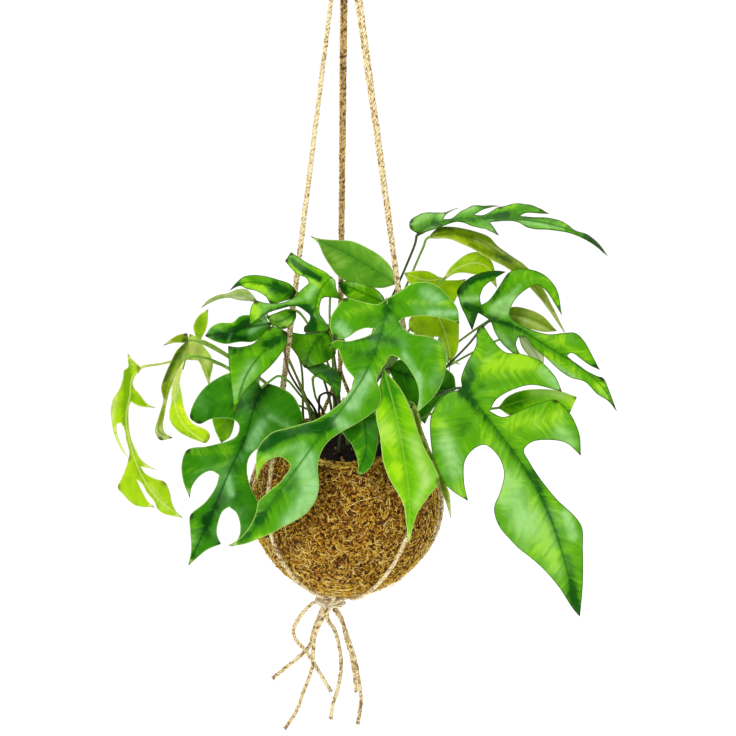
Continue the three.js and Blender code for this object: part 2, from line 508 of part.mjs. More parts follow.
// The loose ends below the ball: points x, y of the front view, each with its depth
const tails = [
  [[316, 602, -6], [307, 608, -8], [299, 618, -9], [293, 631, -9], [296, 640, -9], [305, 650, -8],
    [316, 667, -7], [330, 690, -6]],
  [[322, 606, -1], [318, 618, 4], [312, 636, 6], [310, 645, 3], [303, 653, 0], [289, 665, -2],
    [274, 677, -3]],
  [[327, 609, -12], [321, 621, -14], [315, 635, -14], [313, 652, -14], [312, 668, -13], [303, 693, -12],
    [296, 712, -10], [286, 727, -9]],
  [[329, 610, -2], [327, 618, -1], [334, 629, -1], [339, 645, -1], [341, 667, -1], [338, 687, 0],
    [333, 704, 0], [331, 717, 0]],
  [[334, 610, -9], [342, 622, -9], [349, 641, -8], [355, 660, -7], [359, 682, -6], [361, 700, -6],
    [358, 722, -5]],
  [[337, 609, 3], [342, 620, 5], [346, 638, 6], [351, 655, 5], [354, 672, 4], [356, 690, 4]],
];

// A root that comes out of the soil and goes back in
const ROOT_THICKNESS = 1.8;
const rootArch = {
  feet: [[-18, -12], [-8, -14]],
  crown: [[319, 404, -12], [320, 396, -12.4], [325, 393, -12.7], [331, 393.5, -13.3], [335, 399, -13.8]],
};

function root() {
  const [from, to] = rootArch.feet.map(([x, y]) => V(x, y, soilHeight(x, y) + GAP));
  const line = curveOf([from, ...rootArch.crown.map((p) => lift(...p)), to]);
  return tube(line, ROOT_THICKNESS, 6, 12);
}

// A knot is a rounded lump with turns of the cord lying round it
function knotSolid(centre, size, rings) {
  const core = new THREE.SphereGeometry(1, 14, 9).scale(...size).translate(...centre);
  let body = solidOf(core);
  rings.forEach(({ radius, thickness, tip }) => {
    const ring = new THREE.TorusGeometry(1, 0.2, 6, 16);
    ring.scale(radius[0], radius[1], thickness / 0.4);
    ring.rotateX(tip[0]).rotateY(tip[1]).translate(...centre);
    body = body.add(solidOf(ring));
  });
  return body;
}

function build() {
  add("coir_pot", pot(), looks.coir);
  add("soil", soil(), looks.soil);
  const top = knotSolid([0, 0, TOP_KNOT.z], TOP_KNOT.size, [
    { radius: [8.6, 7.8], thickness: 3.4, tip: [0.35, 0.2] },
    { radius: [8.2, 7.6], thickness: 3.2, tip: [-0.4, -0.25] },
  ]);
  const neck = TOP_KNOT.z + TOP_KNOT.size[2] + GAP;
  const loopLine = curveOf([
    V(-3.4, 0, neck), V(-4.6, 0, neck + 6), V(-10.4, 0, -35), V(-12.5, 0, -11), V(-8.2, 0, -0.4),
    V(0, 0, 3), V(8.2, 0, -0.4), V(12.5, 0, -11), V(10.4, 0, -35), V(4.6, 0, neck + 6), V(3.4, 0, neck),
  ]);
  add("top_knot", geometryOf(top), looks.jute);
  add("hanging_loop", tube(loopLine, LOOP_THICKNESS, 10, 30), looks.jute);
  legs.forEach((leg) =>
    ["a", "b"].forEach((letter, which) => {
      const line = curveOf(strandPoints(leg, which));
      add("cord_" + leg.name + "_" + letter, tube(line, STRAND, 8, 54), looks.jute);
    }),
  );
  const turn = { radius: [8.4, 5.2], thickness: 3.6, tip: [0.3, 0.15] };
  add("bottom_knot", geometryOf(knotSolid(BOTTOM_KNOT.at, BOTTOM_KNOT.size, [turn])), looks.jute);
  tails.forEach((points, i) => {
    const line = points.map(([x, y, d]) => lift(x, y, d));
    line[0] = outside(line[0].sub(V(...BOTTOM_KNOT.at)), END_GAP);
    add("tail_" + (i + 1), tube(curveOf(line), STRAND, 8, 16), looks.jute);
  });
  add("aerial_root", root(), looks.root);
  leaves.forEach((leaf) => {
    const source = leaf.of ? { ...leaves.find((l) => l.name === leaf.of), ...leaf } : leaf;
    const place = placing(source);
    add(leaf.name, geometryOf(blade(source, place).add(solidOf(stalk(source, place)))), looks.leaf);
  });
}

build();
export default group;
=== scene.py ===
# A hanging coir ball planter with a split-leaf climbing plant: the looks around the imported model.
# Lengths are millimetres in the row's frame unless a name says otherwise, and pieces are scaled to metres.
import heapq
from math import asin, atan2, cos, pi, radians, sin, sqrt

import bpy
import numpy as np
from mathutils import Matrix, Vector, geometry


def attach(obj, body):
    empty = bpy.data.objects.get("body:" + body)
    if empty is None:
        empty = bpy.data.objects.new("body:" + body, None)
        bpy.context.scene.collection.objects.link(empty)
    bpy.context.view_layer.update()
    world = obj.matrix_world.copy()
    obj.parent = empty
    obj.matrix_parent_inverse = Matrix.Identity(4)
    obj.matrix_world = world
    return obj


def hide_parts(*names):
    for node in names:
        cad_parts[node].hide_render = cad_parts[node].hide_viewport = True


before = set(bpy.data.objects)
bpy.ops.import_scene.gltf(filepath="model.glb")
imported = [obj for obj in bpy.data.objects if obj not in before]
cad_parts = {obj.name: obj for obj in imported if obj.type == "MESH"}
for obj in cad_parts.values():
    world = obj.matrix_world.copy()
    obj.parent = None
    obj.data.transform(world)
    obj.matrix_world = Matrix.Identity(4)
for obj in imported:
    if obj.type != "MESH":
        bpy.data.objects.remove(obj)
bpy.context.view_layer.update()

MM = 0.001

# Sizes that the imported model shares
BALL_RADIUS, BALL_Z, RIM_HEIGHT, WALL = 70.0, -485.8, 52.0, 6.0
SOIL_EDGE_DROP, SOIL_DOME, GAP = 9.0, 11.0, 0.3
SOIL_EDGE_Z = BALL_Z + RIM_HEIGHT - SOIL_EDGE_DROP
STRAND, PAIR_SPREAD, LEG_FOOT, LEG_AXIS = 3.0, 1.74, 5.5, 1.2
LOOP_THICKNESS, TOP_KNOT_Z, TOP_KNOT_SIZE = 6.0, -74.0, (9.0, 8.0, 9.0)
SPLIT_Z = -402.0
BOTTOM_KNOT, BOTTOM_KNOT_SIZE = np.array((-12.0, -4.0, BALL_Z - 82.5)), np.array((12.0, 7.0, 5.2))
KNOT_ENTRY, END_GAP = 0.45, 0.9
VIEW_CENTRE, VIEW_UNIT, VIEW_DISTANCE, TILT = 368.0, 0.725, 1500.0, radians(24)
VIEW_X, VIEW_Z = 16.7, -376.3

# Sizes of the looks
OUTLINE_STEP, BLADE_STEP, SHARP_TURN = 1.7, 2.7, 72.0
BLADE_HALF, MIDRIB_GROOVE, SIDE_BULGE, SIDE_VEIN_SPACING = 0.3, 0.8, 0.55, 6.5
VEIN_GROOVE, GROOVE_WIDTH, MIDRIB_RADIUS, LEAST_LOBE = 0.55, 1.4, 1.15, 11
BLADE_WAVE, BLADE_WAVE_LENGTH, EDGE_WAVE, EDGE_WAVE_LENGTH = 0.7, 34, 0.5, 15
VEIN_LEAN, LOBE_WINDOW, TIP_REACH, STALK_UNDER = 0.55, 16.0, 4.5, 1.7
STALK_STEP, STALK_SIDES, STALK_RADIUS, LEAF_TRANSLUCENCY, TRANSLUCENT_TINT = 2.2, 10, 1.08, 0.25, 0.6
CORD_STEP, LOOP_STEP, KNOT_STEP = 1.1, 1.2, 0.85
PLIES, PLY_SIDES, PLY_PITCH = 3, 7, 9.0
LOOP_PLY_SIDES, LOOP_PITCH, FUZZ_THICKNESS = 9, 19.0, 0.085
MAT_FIBRES, MAT_PIECES, LONG_FIBRES, RIM_FIBRES, FRAY_FIBRES = 4200, 3, 260, 900, 46
MAT_DEPTH, SHELL_DEPTH, FIBRE_WIGGLE = 1.15, 1.1, 0.32
SHELL_COLUMNS, SOIL_COLUMNS, SOIL_CRUMBS, BARK_BITS = 270, 150, 900, 60
SOIL_CLEAR, CRUMB_CLEAR, SOIL_RUN_OFF, ROOT_STEP = 1.0, 17, 30, 0.8
SPLIT_STEPS, BALL_STEPS, LEAVE_LATITUDE, KNOT_CLEAR, FEWEST_TIP_DEGREES = 39, 10, -70, 3.4, 44
FLOOR_Z, FLOOR_REACH = -1.25, 9
# How far each kind of cord's plies lie from its middle, and their radius
STRAND_PLIES, TAIL_PLIES, LOOP_PLIES, BAND_PLIES = (0.76, 0.86), (0.82, 0.92), (1.5, 1.62), (0.68, 0.78)

# The camera stands where the photograph's did: it looks down by TILT at the middle of the view
SENSOR = 36.0
camera_data = bpy.data.cameras.new("camera")
camera = bpy.data.objects.new("camera", camera_data)
bpy.context.scene.collection.objects.link(camera)
bpy.context.scene.camera = camera
camera_data.sensor_width = SENSOR
camera_data.lens = SENSOR * VIEW_DISTANCE / (2 * VIEW_CENTRE * VIEW_UNIT)
camera_data.clip_start, camera_data.clip_end = 0.05, 30
camera.location = Vector((VIEW_X, -VIEW_DISTANCE * cos(TILT), VIEW_Z + VIEW_DISTANCE * sin(TILT))) * MM
camera.rotation_euler = (pi / 2 - TILT, 0, 0)


def lift(px, py, y):
    """The point at depth y that shows at px, py in the front view."""
    px, py, y = np.broadcast_arrays(np.asarray(px, float), np.asarray(py, float), np.asarray(y, float))
    dx = (px - VIEW_CENTRE) * VIEW_UNIT / VIEW_DISTANCE
    dy = (VIEW_CENTRE - py) * VIEW_UNIT / VIEW_DISTANCE
    t = (y + VIEW_DISTANCE * cos(TILT)) / (cos(TILT) + dy * sin(TILT))
    z = VIEW_Z + VIEW_DISTANCE * sin(TILT) + t * (dy * cos(TILT) - sin(TILT))
    return np.stack([VIEW_X + t * dx, y, z], -1)


def soil_height(x, y):
    r = np.minimum(1, np.hypot(x, y) / (BALL_RADIUS - WALL))
    return SOIL_EDGE_Z + SOIL_DOME * (1 - r * r)


def on_soil(x, y):
    return np.array([x, y, float(soil_height(x, y)) + GAP])


# Curves and tubes


def spline(points, count, closed=False):
    """count + 1 points along a centripetal Catmull-Rom curve, evenly spread over its spans."""
    p = np.array(points, float)
    n = len(p)
    spans = n if closed else n - 1
    place = np.arange(count + 1) * spans / count
    i = np.minimum(np.floor(place).astype(int), spans - 1)
    w = (place - i)[:, None]
    if closed:
        p0, p1, p2, p3 = (p[(i + k) % n] for k in (-1, 0, 1, 2))
    else:
        q = np.concatenate([2 * p[:1] - p[1:2], p, 2 * p[-1:] - p[-2:-1]])
        p0, p1, p2, p3 = (q[i + k] for k in (0, 1, 2, 3))
    d0, d1, d2 = (np.maximum(np.linalg.norm(b - a, axis=1, keepdims=True), 1e-9) ** 0.5
                  for a, b in ((p0, p1), (p1, p2), (p2, p3)))
    t1 = ((p1 - p0) / d0 - (p2 - p0) / (d0 + d1) + (p2 - p1) / d1) * d1
    t2 = ((p2 - p1) / d1 - (p3 - p1) / (d1 + d2) + (p3 - p2) / d2) * d1
    c2 = -3 * p1 + 3 * p2 - 2 * t1 - t2
    c3 = 2 * p1 - 2 * p2 + t1 + t2
    return p1 + t1 * w + c2 * w ** 2 + c3 * w ** 3


def distances(path):
    """How far along the path each of its points is."""
    return np.concatenate([[0], np.cumsum(np.linalg.norm(np.diff(path, axis=0), axis=1))])


def length_of(path):
    return float(np.linalg.norm(np.diff(path, axis=0), axis=1).sum())


def evenly(path, step):
    """The path again, with points about step apart."""
    along = distances(path)
    count = max(2, int(round(along[-1] / step)))
    at = np.linspace(0, along[-1], count + 1)
    return np.stack([np.interp(at, along, path[:, k]) for k in range(path.shape[1])], -1)


def unit(v):
    return v / np.maximum(np.linalg.norm(v, axis=-1, keepdims=True), 1e-12)


def fan(u, v, angle):
    """Directions at an angle from u towards v."""
    return u * np.cos(angle)[..., None] + v * np.sin(angle)[..., None]


def polar(r, a, z):
    """Points at the radius r, the heading a and the height z."""
    return np.stack(np.broadcast_arrays(r * np.cos(a), r * np.sin(a), z), -1)


def carried(path):
    """The path's direction at each point and two across it, carried along without twist."""
    tangent = unit(np.gradient(path, axis=0))
    start = np.cross(tangent[0], (0, 0, 1.0))
    if np.linalg.norm(start) < 0.2:
        start = np.cross(tangent[0], (0, 1.0, 0))
    normal = [unit(start)]
    for t in tangent[1:]:
        n = normal[-1] - t * (normal[-1] @ t)
        normal.append(n / np.linalg.norm(n))
    return tangent, np.array(normal), np.cross(tangent, np.array(normal))


def grid_quads(rows, columns):
    """The faces between rows of points, each row a closed ring."""
    r, c = np.meshgrid(np.arange(rows - 1), np.arange(columns), indexing="ij")
    i, j = r * columns + c, r * columns + (c + 1) % columns
    return np.stack([i, j, j + columns, i + columns], -1).reshape(-1, 4)


def sweep(paths, normals, radii, sides, marks=None):
    """Closed tubes along many paths of equal point count. Returns points, faces and marks.
    paths and normals are F x K x 3 and radii F x K."""
    f, k = radii.shape
    tangent = unit(np.gradient(paths, axis=1))
    n = unit(normals - tangent * (normals * tangent).sum(-1, keepdims=True))
    b = np.cross(tangent, n)
    turn = 2 * pi * np.arange(sides) / sides
    ring = fan(n[:, :, None], b[:, :, None], turn) * radii[:, :, None, None]
    skin = (paths[:, :, None] + ring).reshape(f, k * sides, 3)
    quads = grid_quads(k, sides)
    s = np.arange(sides)
    ends = np.stack([s[::-1], (k - 1) * sides + s])
    step = (np.arange(f) * k * sides)[:, None, None]
    faces = [(quads[None] + step).reshape(-1, 4), (ends[None] + step).reshape(-1, sides)]
    if marks is None:
        marks = np.zeros((f, k, 3))
    return skin.reshape(-1, 3), faces, np.repeat(marks, sides, axis=1).reshape(-1, marks.shape[-1])


def lathe(shape, profile, columns, rough, tone=0.0, ends=None):
    """A profile turned about Z and closed at its ends. rough moves the points."""
    around = 2 * pi * np.arange(columns) / columns
    points = rough(polar(profile[:, :1], around, profile[:, 1:]).reshape(-1, 3))
    count, last = len(points), len(points) - columns
    k = np.arange(columns)
    caps = np.concatenate([np.stack([np.full(columns, count), (k + 1) % columns, k], -1),
                           np.stack([np.full(columns, count + 1), last + k, last + (k + 1) % columns], -1)])
    points = np.concatenate([points, ends or [points[:columns].mean(0), points[last:].mean(0)]])
    shape.add(points, [grid_quads(len(profile), columns), caps], np.full((len(points), 3), tone))


def noted(steps, first, third=0.0):
    """The marks of many tubes or lumps, each with its own first and third."""
    marks = np.zeros((len(first), steps, 3))
    marks[..., 0], marks[..., 2] = first[:, None], np.reshape(third, (-1, 1))
    return marks


class Shape:
    """Collects the points, faces and marks of one piece."""

    def __init__(self):
        self.points, self.marks, self.faces, self.look, self.count = [], [], [], [], 0

    def add(self, points, faces, marks, look=0):
        for face in faces if isinstance(faces, list) else [faces]:
            if len(face):
                self.faces.append(np.asarray(face) + self.count)
                self.look.append(np.full(len(face), look))
        self.points.append(points)
        self.marks.append(marks)
        self.count += len(points)

    def piece(self, name, materials, replaces=()):
        points = np.concatenate(self.points) * MM
        mesh = bpy.data.meshes.new(name)
        mesh.vertices.add(len(points))
        mesh.vertices.foreach_set("co", points.astype(np.float32).ravel())
        sizes = np.concatenate([np.full(len(f), f.shape[1]) for f in self.faces])
        loops = np.concatenate([f.ravel() for f in self.faces])
        mesh.loops.add(len(loops))
        mesh.loops.foreach_set("vertex_index", loops.astype(np.int32))
        mesh.polygons.add(len(sizes))
        mesh.polygons.foreach_set("loop_start", np.concatenate([[0], np.cumsum(sizes)[:-1]]).astype(np.int32))
        for material in materials:
            mesh.materials.append(material)
        mesh.polygons.foreach_set("material_index", np.concatenate(self.look).astype(np.int32))
        mesh.polygons.foreach_set("use_smooth", np.ones(len(sizes), bool))
        mesh.update(calc_edges=True)
        mesh.validate()
        marks = np.concatenate(self.marks)
        for first, title in ((0, "marks"), (3, "more"), (6, "paint")):
            if marks.shape[1] > first:
                attribute = mesh.attributes.new(title, "FLOAT_VECTOR", "POINT")
                attribute.data.foreach_set("vector", marks[:, first:first + 3].astype(np.float32).ravel())
        made = bpy.data.objects.new(name, mesh)
        bpy.context.scene.collection.objects.link(made)
        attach(made, "root")
        if replaces:
            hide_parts(*replaces)
        return made


# Materials


def rgb(text):
    """A colour written as in a style sheet, as linear numbers."""
    value = [int(text[i:i + 2], 16) / 255 for i in (1, 3, 5)]
    return tuple(v / 12.92 if v <= 0.04045 else ((v + 0.055) / 1.055) ** 2.4 for v in value) + (1.0,)


class Graph:
    """Short ways to lay out the nodes of one material."""

    def __init__(self, name):
        self.material = bpy.data.materials.new(name)
        self.material.use_nodes = True
        self.tree = self.material.node_tree
        self.tree.nodes.clear()

    def node(self, kind, inputs=(), **settings):
        made = self.tree.nodes.new("ShaderNode" + kind)
        for key, value in settings.items():
            setattr(made, key, value)
        for key, value in dict(inputs).items():
            if isinstance(value, bpy.types.NodeSocket):
                self.tree.links.new(value, made.inputs[key])
            else:
                made.inputs[key].default_value = value
        return made

    def math(self, operation, a, b=0.0):
        return self.node("Math", {0: a, 1: b}, operation=operation).outputs[0]

    def times(self, a, b):
        return self.math("MULTIPLY", a, b)

    def plus(self, a, b):
        return self.math("ADD", a, b)

    def less(self, a, b):
        return self.math("SUBTRACT", a, b)

    def total(self, a, share_a, b, share_b):
        return self.plus(self.times(a, share_a), self.times(b, share_b))

    def swing(self, value, *parts):
        """value plus a share of how far each part is from one half."""
        for part, share in parts:
            value = self.plus(value, self.times(self.less(part, 0.5), share))
        return value

    def ramp(self, value, low, high, at_low=0.0, at_high=1.0):
        names = {"Value": value, "From Min": low, "From Max": high, "To Min": at_low, "To Max": at_high}
        return self.node("MapRange", names, interpolation_type="SMOOTHSTEP").outputs[0]

    def mix(self, factor, a, b):
        return self.node("Mix", {0: factor, 6: a, 7: b}, data_type="RGBA").outputs[2]

    def tint(self, color, new, factor, share=1.0):
        """color under a share of the colour new."""
        return self.mix(factor if share == 1 else self.times(factor, share), color, rgb(new))

    def colors(self, value, first, *steps):
        """The first colour, and over it each next one where value rises from low to high."""
        color = rgb(first)
        for low, high, new in steps:
            color = self.tint(color, new, self.ramp(value, low, high))
        return color

    def noise(self, vector, scale, detail=3.0, rough=0.5):
        values = {"Vector": vector, "Scale": scale, "Detail": detail, "Roughness": rough}
        return self.node("TexNoise", values).outputs["Fac"]

    def marks(self, title="marks"):
        attribute = self.node("Attribute", attribute_name=title, attribute_type="GEOMETRY")
        return self.node("SeparateXYZ", {0: attribute.outputs["Vector"]}).outputs

    def position(self, moved=(0, 0, 0)):
        where = self.node("TexCoord").outputs["Object"]
        return self.node("VectorMath", {0: where, 1: moved}, operation="ADD").outputs[0]

    def bump(self, height, strength, distance):
        values = {"Height": height, "Strength": strength, "Distance": distance}
        return self.node("Bump", values).outputs[0]

    def surface(self, color, grain, rough, height, bump, **constants):
        """A material whose roughness follows its grain."""
        rough = self.ramp(grain, 0.2, 0.8, *rough)
        return self.finish(principled(self, color, rough, self.bump(height, *bump), **constants))

    def finish(self, shader):
        output = self.node("OutputMaterial")
        self.tree.links.new(shader, output.inputs["Surface"])
        return self.material


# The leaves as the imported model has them. Outlines are drawn in the front view, 0.725 mm to the unit, y down.
# depth: y at base, middle and tip. side: slope, fold and cup across. foot: where the stalk enters the soil.
# kind and stem: the looks of the blade and the stalk. of: the leaf whose blade a leaf of the back repeats.
LEAVES = [
    dict(name="front_right", stem="dark", depth=[-44, -76, -98], side=[-0.1, -0.12, 0.003], foot=[16, -28],
      rib=[461,388, 476,404, 500,434, 527,472, 552,522, 580,617],
      edge=[461,388, 446,394, 432,412, 430,430, 433,458, 441,478, 452,491, 468,501, 464,482, 465,461,
        474,449, 485,445, 498,456, 504,473, 500,492, 494,508, 498,524, 515,545, 540,566, 558,586, 573,609,
        580,617, 583,582, 583,550, 582,527, 572,513, 556,498, 540,478, 529,461, 524,450, 532,442, 548,440,
        566,443, 581,456, 579,432, 569,412, 556,400, 539,403, 521,410, 503,417, 490,411, 496,400, 510,391,
        532,385, 562,392, 555,376, 542,362, 522,354, 505,352, 493,340, 483,325, 477,330, 476,345, 467,362,
        461,378]),
    dict(name="upper_right", stem="dark", depth=[-8, -28, -52], side=[-0.05, -0.1, 0.003],
      stalk=[[468, 345, -14], [448, 365, -16]], foot=[26, -10],
      rib=[490,321, 513,326, 545,345, 585,371, 605,390, 617,412],
      edge=[459,300, 457,291, 465,281, 480,273, 497,270.6, 506,271.8, 494,279, 484,287, 480,298, 481,305,
        488,301, 498,288, 507.6,273.6, 516,269, 528,269, 543,274, 556,288, 562,316, 554,303, 546,291,
        537,285, 524,291, 513,303, 510,315, 521,325, 547,334, 564,333, 575,333, 585,342, 595,361, 600,370,
        589,365, 571,353, 567,356, 580,367, 597,376, 603,378, 608,388, 617,412, 608,401, 597,394, 585,382,
        572,378, 560,371, 546,358, 533,347, 526,338, 519,336, 516,344, 522,357, 511,352, 502,344, 495,333,
        490,321, 478,313, 472,331, 466,317, 461,307]),
    dict(name="top_right", stem="dark", depth=[24, 14, -6], side=[-3.0, 0, 0],
      stalk=[[415, 244, 30], [404, 271, 38]], foot=[6, 28],
      rib=[418,233, 430,225, 455,219, 485,218, 515,219, 545,223, 575,232, 595,244, 608,256],
      edge=[418,233, 410,228, 410,221, 418,216, 430,212, 445,212, 459,208, 447,214, 443,219, 452,218,
        462,211, 475,206, 500,206, 485,209, 474,215, 484,215, 497,208, 513,204, 526,204, 538,208, 549,214,
        536,213, 524,213, 520,216, 535,217, 550,218, 564,222, 575,230, 588,235, 599,244, 608,256, 593,244,
        578,236, 565,232, 550,230, 529,228, 517,222, 502,221, 490,222, 499,235, 487,230, 472,226, 457,222,
        440,227, 428,231]),
    dict(name="below_top", kind="olive", depth=[12, 12, 8], side=[-1.5, 0, 0],
      stalk=[[423, 248, 20], [413, 271, 36]], foot=[14, 24],
      rib=[429,236, 455,234, 480,241, 505,258, 530,280, 548,307, 566,334],
      edge=[429,236, 438,228, 454,227, 470,230, 487,236, 500,248, 516,259, 530,270, 541,285, 553,307,
        566,334, 552,314, 536,294, 521,279, 506,267, 490,259, 470,248, 452,240, 438,238]),
    dict(name="back_top", kind="plain", depth=[4, 12, 22], side=[0.3, 0, 0.002], foot=[4, 16],
      rib=[397,284, 375,270, 348,254, 310,236],
      edge=[397,284, 393,270, 382,257, 368,248, 352,241, 338,240, 323,239, 310,236, 318,243, 323,254,
        330,266, 338,276, 350,283, 366,287, 383,288]),
    dict(name="star", depth=[-26, -33, -37], side=[-0.15, 0, 0.002],
      stalk=[[330, 300, -16], [330, 323, -6]], foot=[-4, 10],
      rib=[331,277, 322,287, 316,303, 318,318, 331,331],
      edge=[331,277, 327,273, 318,268, 308,263, 300,258, 291,252, 285,261, 290,267, 297,274, 306,278,
        309,283, 301,290, 293,298, 280,303, 266,303, 256,301, 251,307, 249,327, 257,320, 266,314, 280,309,
        296,306, 305,311, 310,316, 308,323, 304,327, 304,332, 316,332, 331,331, 325,321, 320,314, 320,305,
        323,298, 335,298, 344,301, 338,293, 336,286, 335,280]),
    dict(name="arch", depth=[-27, -29, -31], side=[0.3, 0, 0.006],
      stalk=[[308, 308, -18], [314, 330, 0], [316, 352, 6]], foot=[-10, 13],
      rib=[296,292, 276,287, 252,282, 240,284, 229,291],
      edge=[296,292, 290,284, 276,279, 265,276, 252,275, 243,277, 236,283, 229,291, 240,286, 247,289,
        256,291, 266,297, 271,304, 284,301, 293,298]),
    dict(name="arch_under", kind="back", depth=[-2, -2, 2], side=[0.6, 0, 0], foot=[-24, -19],
      rib=[258,302, 243,296, 225,296, 209,301, 201,308],
      edge=[258,302, 252,294, 246,289, 238,289, 228,293, 218,295, 208,300, 201,308, 210,303, 220,299,
        230,298, 238,300, 249,301]),
    dict(name="left_dark", kind="deep", depth=[-10, -24, -34], side=[0.4, 0, 0.002],
      stalk=[[285, 335, -4], [300, 360, 4]], foot=[-31, 5],
      rib=[272,323, 250,327, 230,332, 205,336],
      edge=[272,323, 262,319, 250,315, 240,316, 233,322, 219,323, 211,327, 205,336, 214,341, 225,344,
        240,342, 252,342, 262,336, 269,329]),
    dict(name="small_bright", depth=[-24, -26, -28], side=[0.1, 0, 0], foot=[-6, 27],
      rib=[296,311, 287,318, 276,322, 266,317],
      edge=[296,311, 288,309, 278,312, 266,317, 274,325, 284,329, 291,325, 296,318]),
    dict(name="left_pointed", stem="brown", depth=[-34, -52, -70], side=[0.15, -0.1, 0.004],
      stalk=[[285, 350, -31], [287, 366, -28], [297, 386, -10]], foot=[-21, 17],
      rib=[286,332, 264,351, 246,376, 234,417],
      edge=[286,332, 276,327, 269,327, 262,335, 254,343, 246,346, 237,347, 228,346, 229,367, 231,385,
        233,402, 234,417, 240,400, 248,388, 259,377, 270,367, 280,355, 287,343]),
    dict(name="left_large", kind="deep", stem="green", depth=[-37, -52, -68], side=[0.1, -0.12, 0.003],
      stalk=[[269, 382, -36], [278, 376, -34], [287, 380, -28], [296, 390, -14]], foot=[-22, 11],
      rib=[262,388, 254,408, 245,438, 230,470, 209,520, 188,566],
      edge=[262,388, 256,379, 244,373, 229,373, 214,380, 204,388, 196,399, 191,410, 190,418, 199,424,
        212,419, 234,420, 239,426, 237,435, 230,440, 208,446, 187,450, 182,463, 183,480, 190,498, 192,487,
        200,476, 211,471, 219,475, 216,486, 206,501, 190,516, 190,530, 191,550, 188,566, 196,559, 207,550,
        221,544, 217,533, 219,520, 223,511, 229,507, 236,513, 240,524, 239,536, 231,547, 245,538, 256,522,
        259,506, 251,488, 247,470, 249,458, 256,450, 275,441, 292,433, 303,424, 299,406, 291,394, 277,386,
        268,384]),
    dict(name="centre_large", kind="pale", depth=[-34, -66, -84], side=[0, -0.1, 0.002], foot=[2, -14],
      rib=[388,298, 382,330, 368,368, 350,398, 325,430, 294,472, 268,508, 256,527, 245,538, 228,546],
      edge=[388,298, 378,304, 368,303, 356,300, 345,298, 337,307, 331,317, 330,327, 334,337, 343,339,
        350,336, 357,331, 366,328, 375,329, 370,334, 360,338, 348,341, 337,340, 328,345, 333,351, 338,349,
        341,358, 347,370, 354,379, 351,389, 343,400, 333,409, 322,416, 311,421, 291,427, 275,431, 263,440,
        257,450, 256,465, 257,483, 260,471, 267,461, 279,457, 287,461, 290,466, 281,481, 269,491, 258,502,
        256,512, 250,526, 240,538, 228,546, 241,545, 261,538, 278,530, 294,522, 308,512, 316,500, 319,486,
        318,466, 322,451, 330,440, 342,432, 358,423, 370,415, 378,408, 381,400, 380,390, 377,380, 380,372,
        386,363, 390,356, 397,357, 405,363, 412,373, 418,386, 419,400, 416,414, 427,404, 437,393, 443,381,
        446,366, 446,353, 443,345, 437,340, 428,336, 413,334, 404,329, 399,321, 404,318, 422,316, 436,317,
        449,320, 460,324, 457,308, 449,297, 439,287, 427,282, 413,283, 400,291]),
    dict(name="centre_bright", kind="bright", stem="green", slot="young_leaf", depth=[-44, -66, -74],
      side=[-0.1, -0.1, 0.003], foot=[10, -22],
      rib=[384,370, 395,410, 403,450, 409,495, 409,545],
      edge=[384,370, 380,382, 378,395, 376,415, 380,437, 383,461, 389,478, 397,492, 404,506, 406,523,
        409,545, 413,527, 418,512, 428,497, 439,481, 434,466, 425,449, 418,431, 413,415, 402,391, 392,378]),
    dict(name="sliver", kind="olive", depth=[-44, -56, -60], side=[0.8, 0, 0], foot=[14, -17],
      rib=[411,403, 427,446, 441,479, 451,519],
      edge=[411,403, 418,434, 429,458, 438,478, 441,490, 446,503, 451,519, 449,492, 440,473, 433,456,
        424,436, 416,408]),
    dict(name="centre_dark", kind="deep", stem="dark", depth=[-42, -56, -64], side=[0.2, 0.1, 0.006],
      foot=[-4, -26],
      rib=[362,398, 365,425, 366,450, 357,476],
      edge=[362,398, 350,412, 340,428, 346,438, 352,445, 356,455, 358,464, 357,476, 366,472, 373,463,
        376,452, 378,440, 378,428, 374,412]),
    dict(name="centre_curved", depth=[-16, -22, -30], side=[-0.3, 0, 0],
      stalk=[[315, 395, -2]], foot=[-16, 22],
      rib=[314,375, 321,373, 332,382, 336,401],
      edge=[305,367, 309,363, 316,361, 325,364, 334,369, 341,374, 341,386, 340,394, 336,401, 334,392,
        329,385, 322,380, 314,375]),
    dict(name="centre_olive", depth=[-7.4, -11.4, -17.4], side=[0.1, 0.05, 0], foot=[-8, 4],
      rib=[328,331, 316,342, 309,354, 305,368],
      edge=[328,331, 317,333, 303,334, 287,331, 286,341, 293,350, 300,360, 305,368, 314,366, 324,363,
        331,359, 336,353, 332,342]),
    dict(name="far_left", kind="young", stem="pale", slot="young_leaf",
         depth=[-10, -22, -34], side=[0.2, 0, 0.01],
      stalk=[[146, 366, -9], [160, 364, -5], [184, 359, 2], [212, 362, 4], [230, 370, 2], [262, 392, -2]],
      foot=[-29, 10],
      rib=[140,368, 132,378, 130,395, 126,418, 131,447, 140,472, 157,498, 183,518],
      edge=[140,368, 133,359, 128,353, 128,361, 128,367, 124,370, 122,380, 119,389, 112,400, 110,412,
        112,426, 116,440, 121,450, 128,458, 120,443, 117,431, 117,424, 121,423, 124,429, 126,441, 129,452,
        128,460, 122,477, 118,487, 123,494, 130,502, 138,507, 155,508, 148,502, 141,489, 137,480, 142,484,
        147,493, 154,502, 158,510, 164,514, 183,518, 176,511, 172,502, 170,493, 165,482, 154,478, 145,473,
        141,467, 147,468, 156,470, 148,465, 141,459, 136,450, 131,438, 129,426, 129,407, 131,402, 139,406,
        156,408, 147,403, 140,394, 134,387, 133,382, 136,375]),
    dict(name="left_tendril", kind="olive", depth=[-18, -28, -34], side=[0.5, 0, 0], foot=[-30, -8],
      rib=[189,340, 174,366, 165,392, 162,415, 159,431, 173,438],
      edge=[189,340, 187,333, 178,335, 170,340, 163,346, 175,343, 184,343, 177,350, 170,363, 164,377,
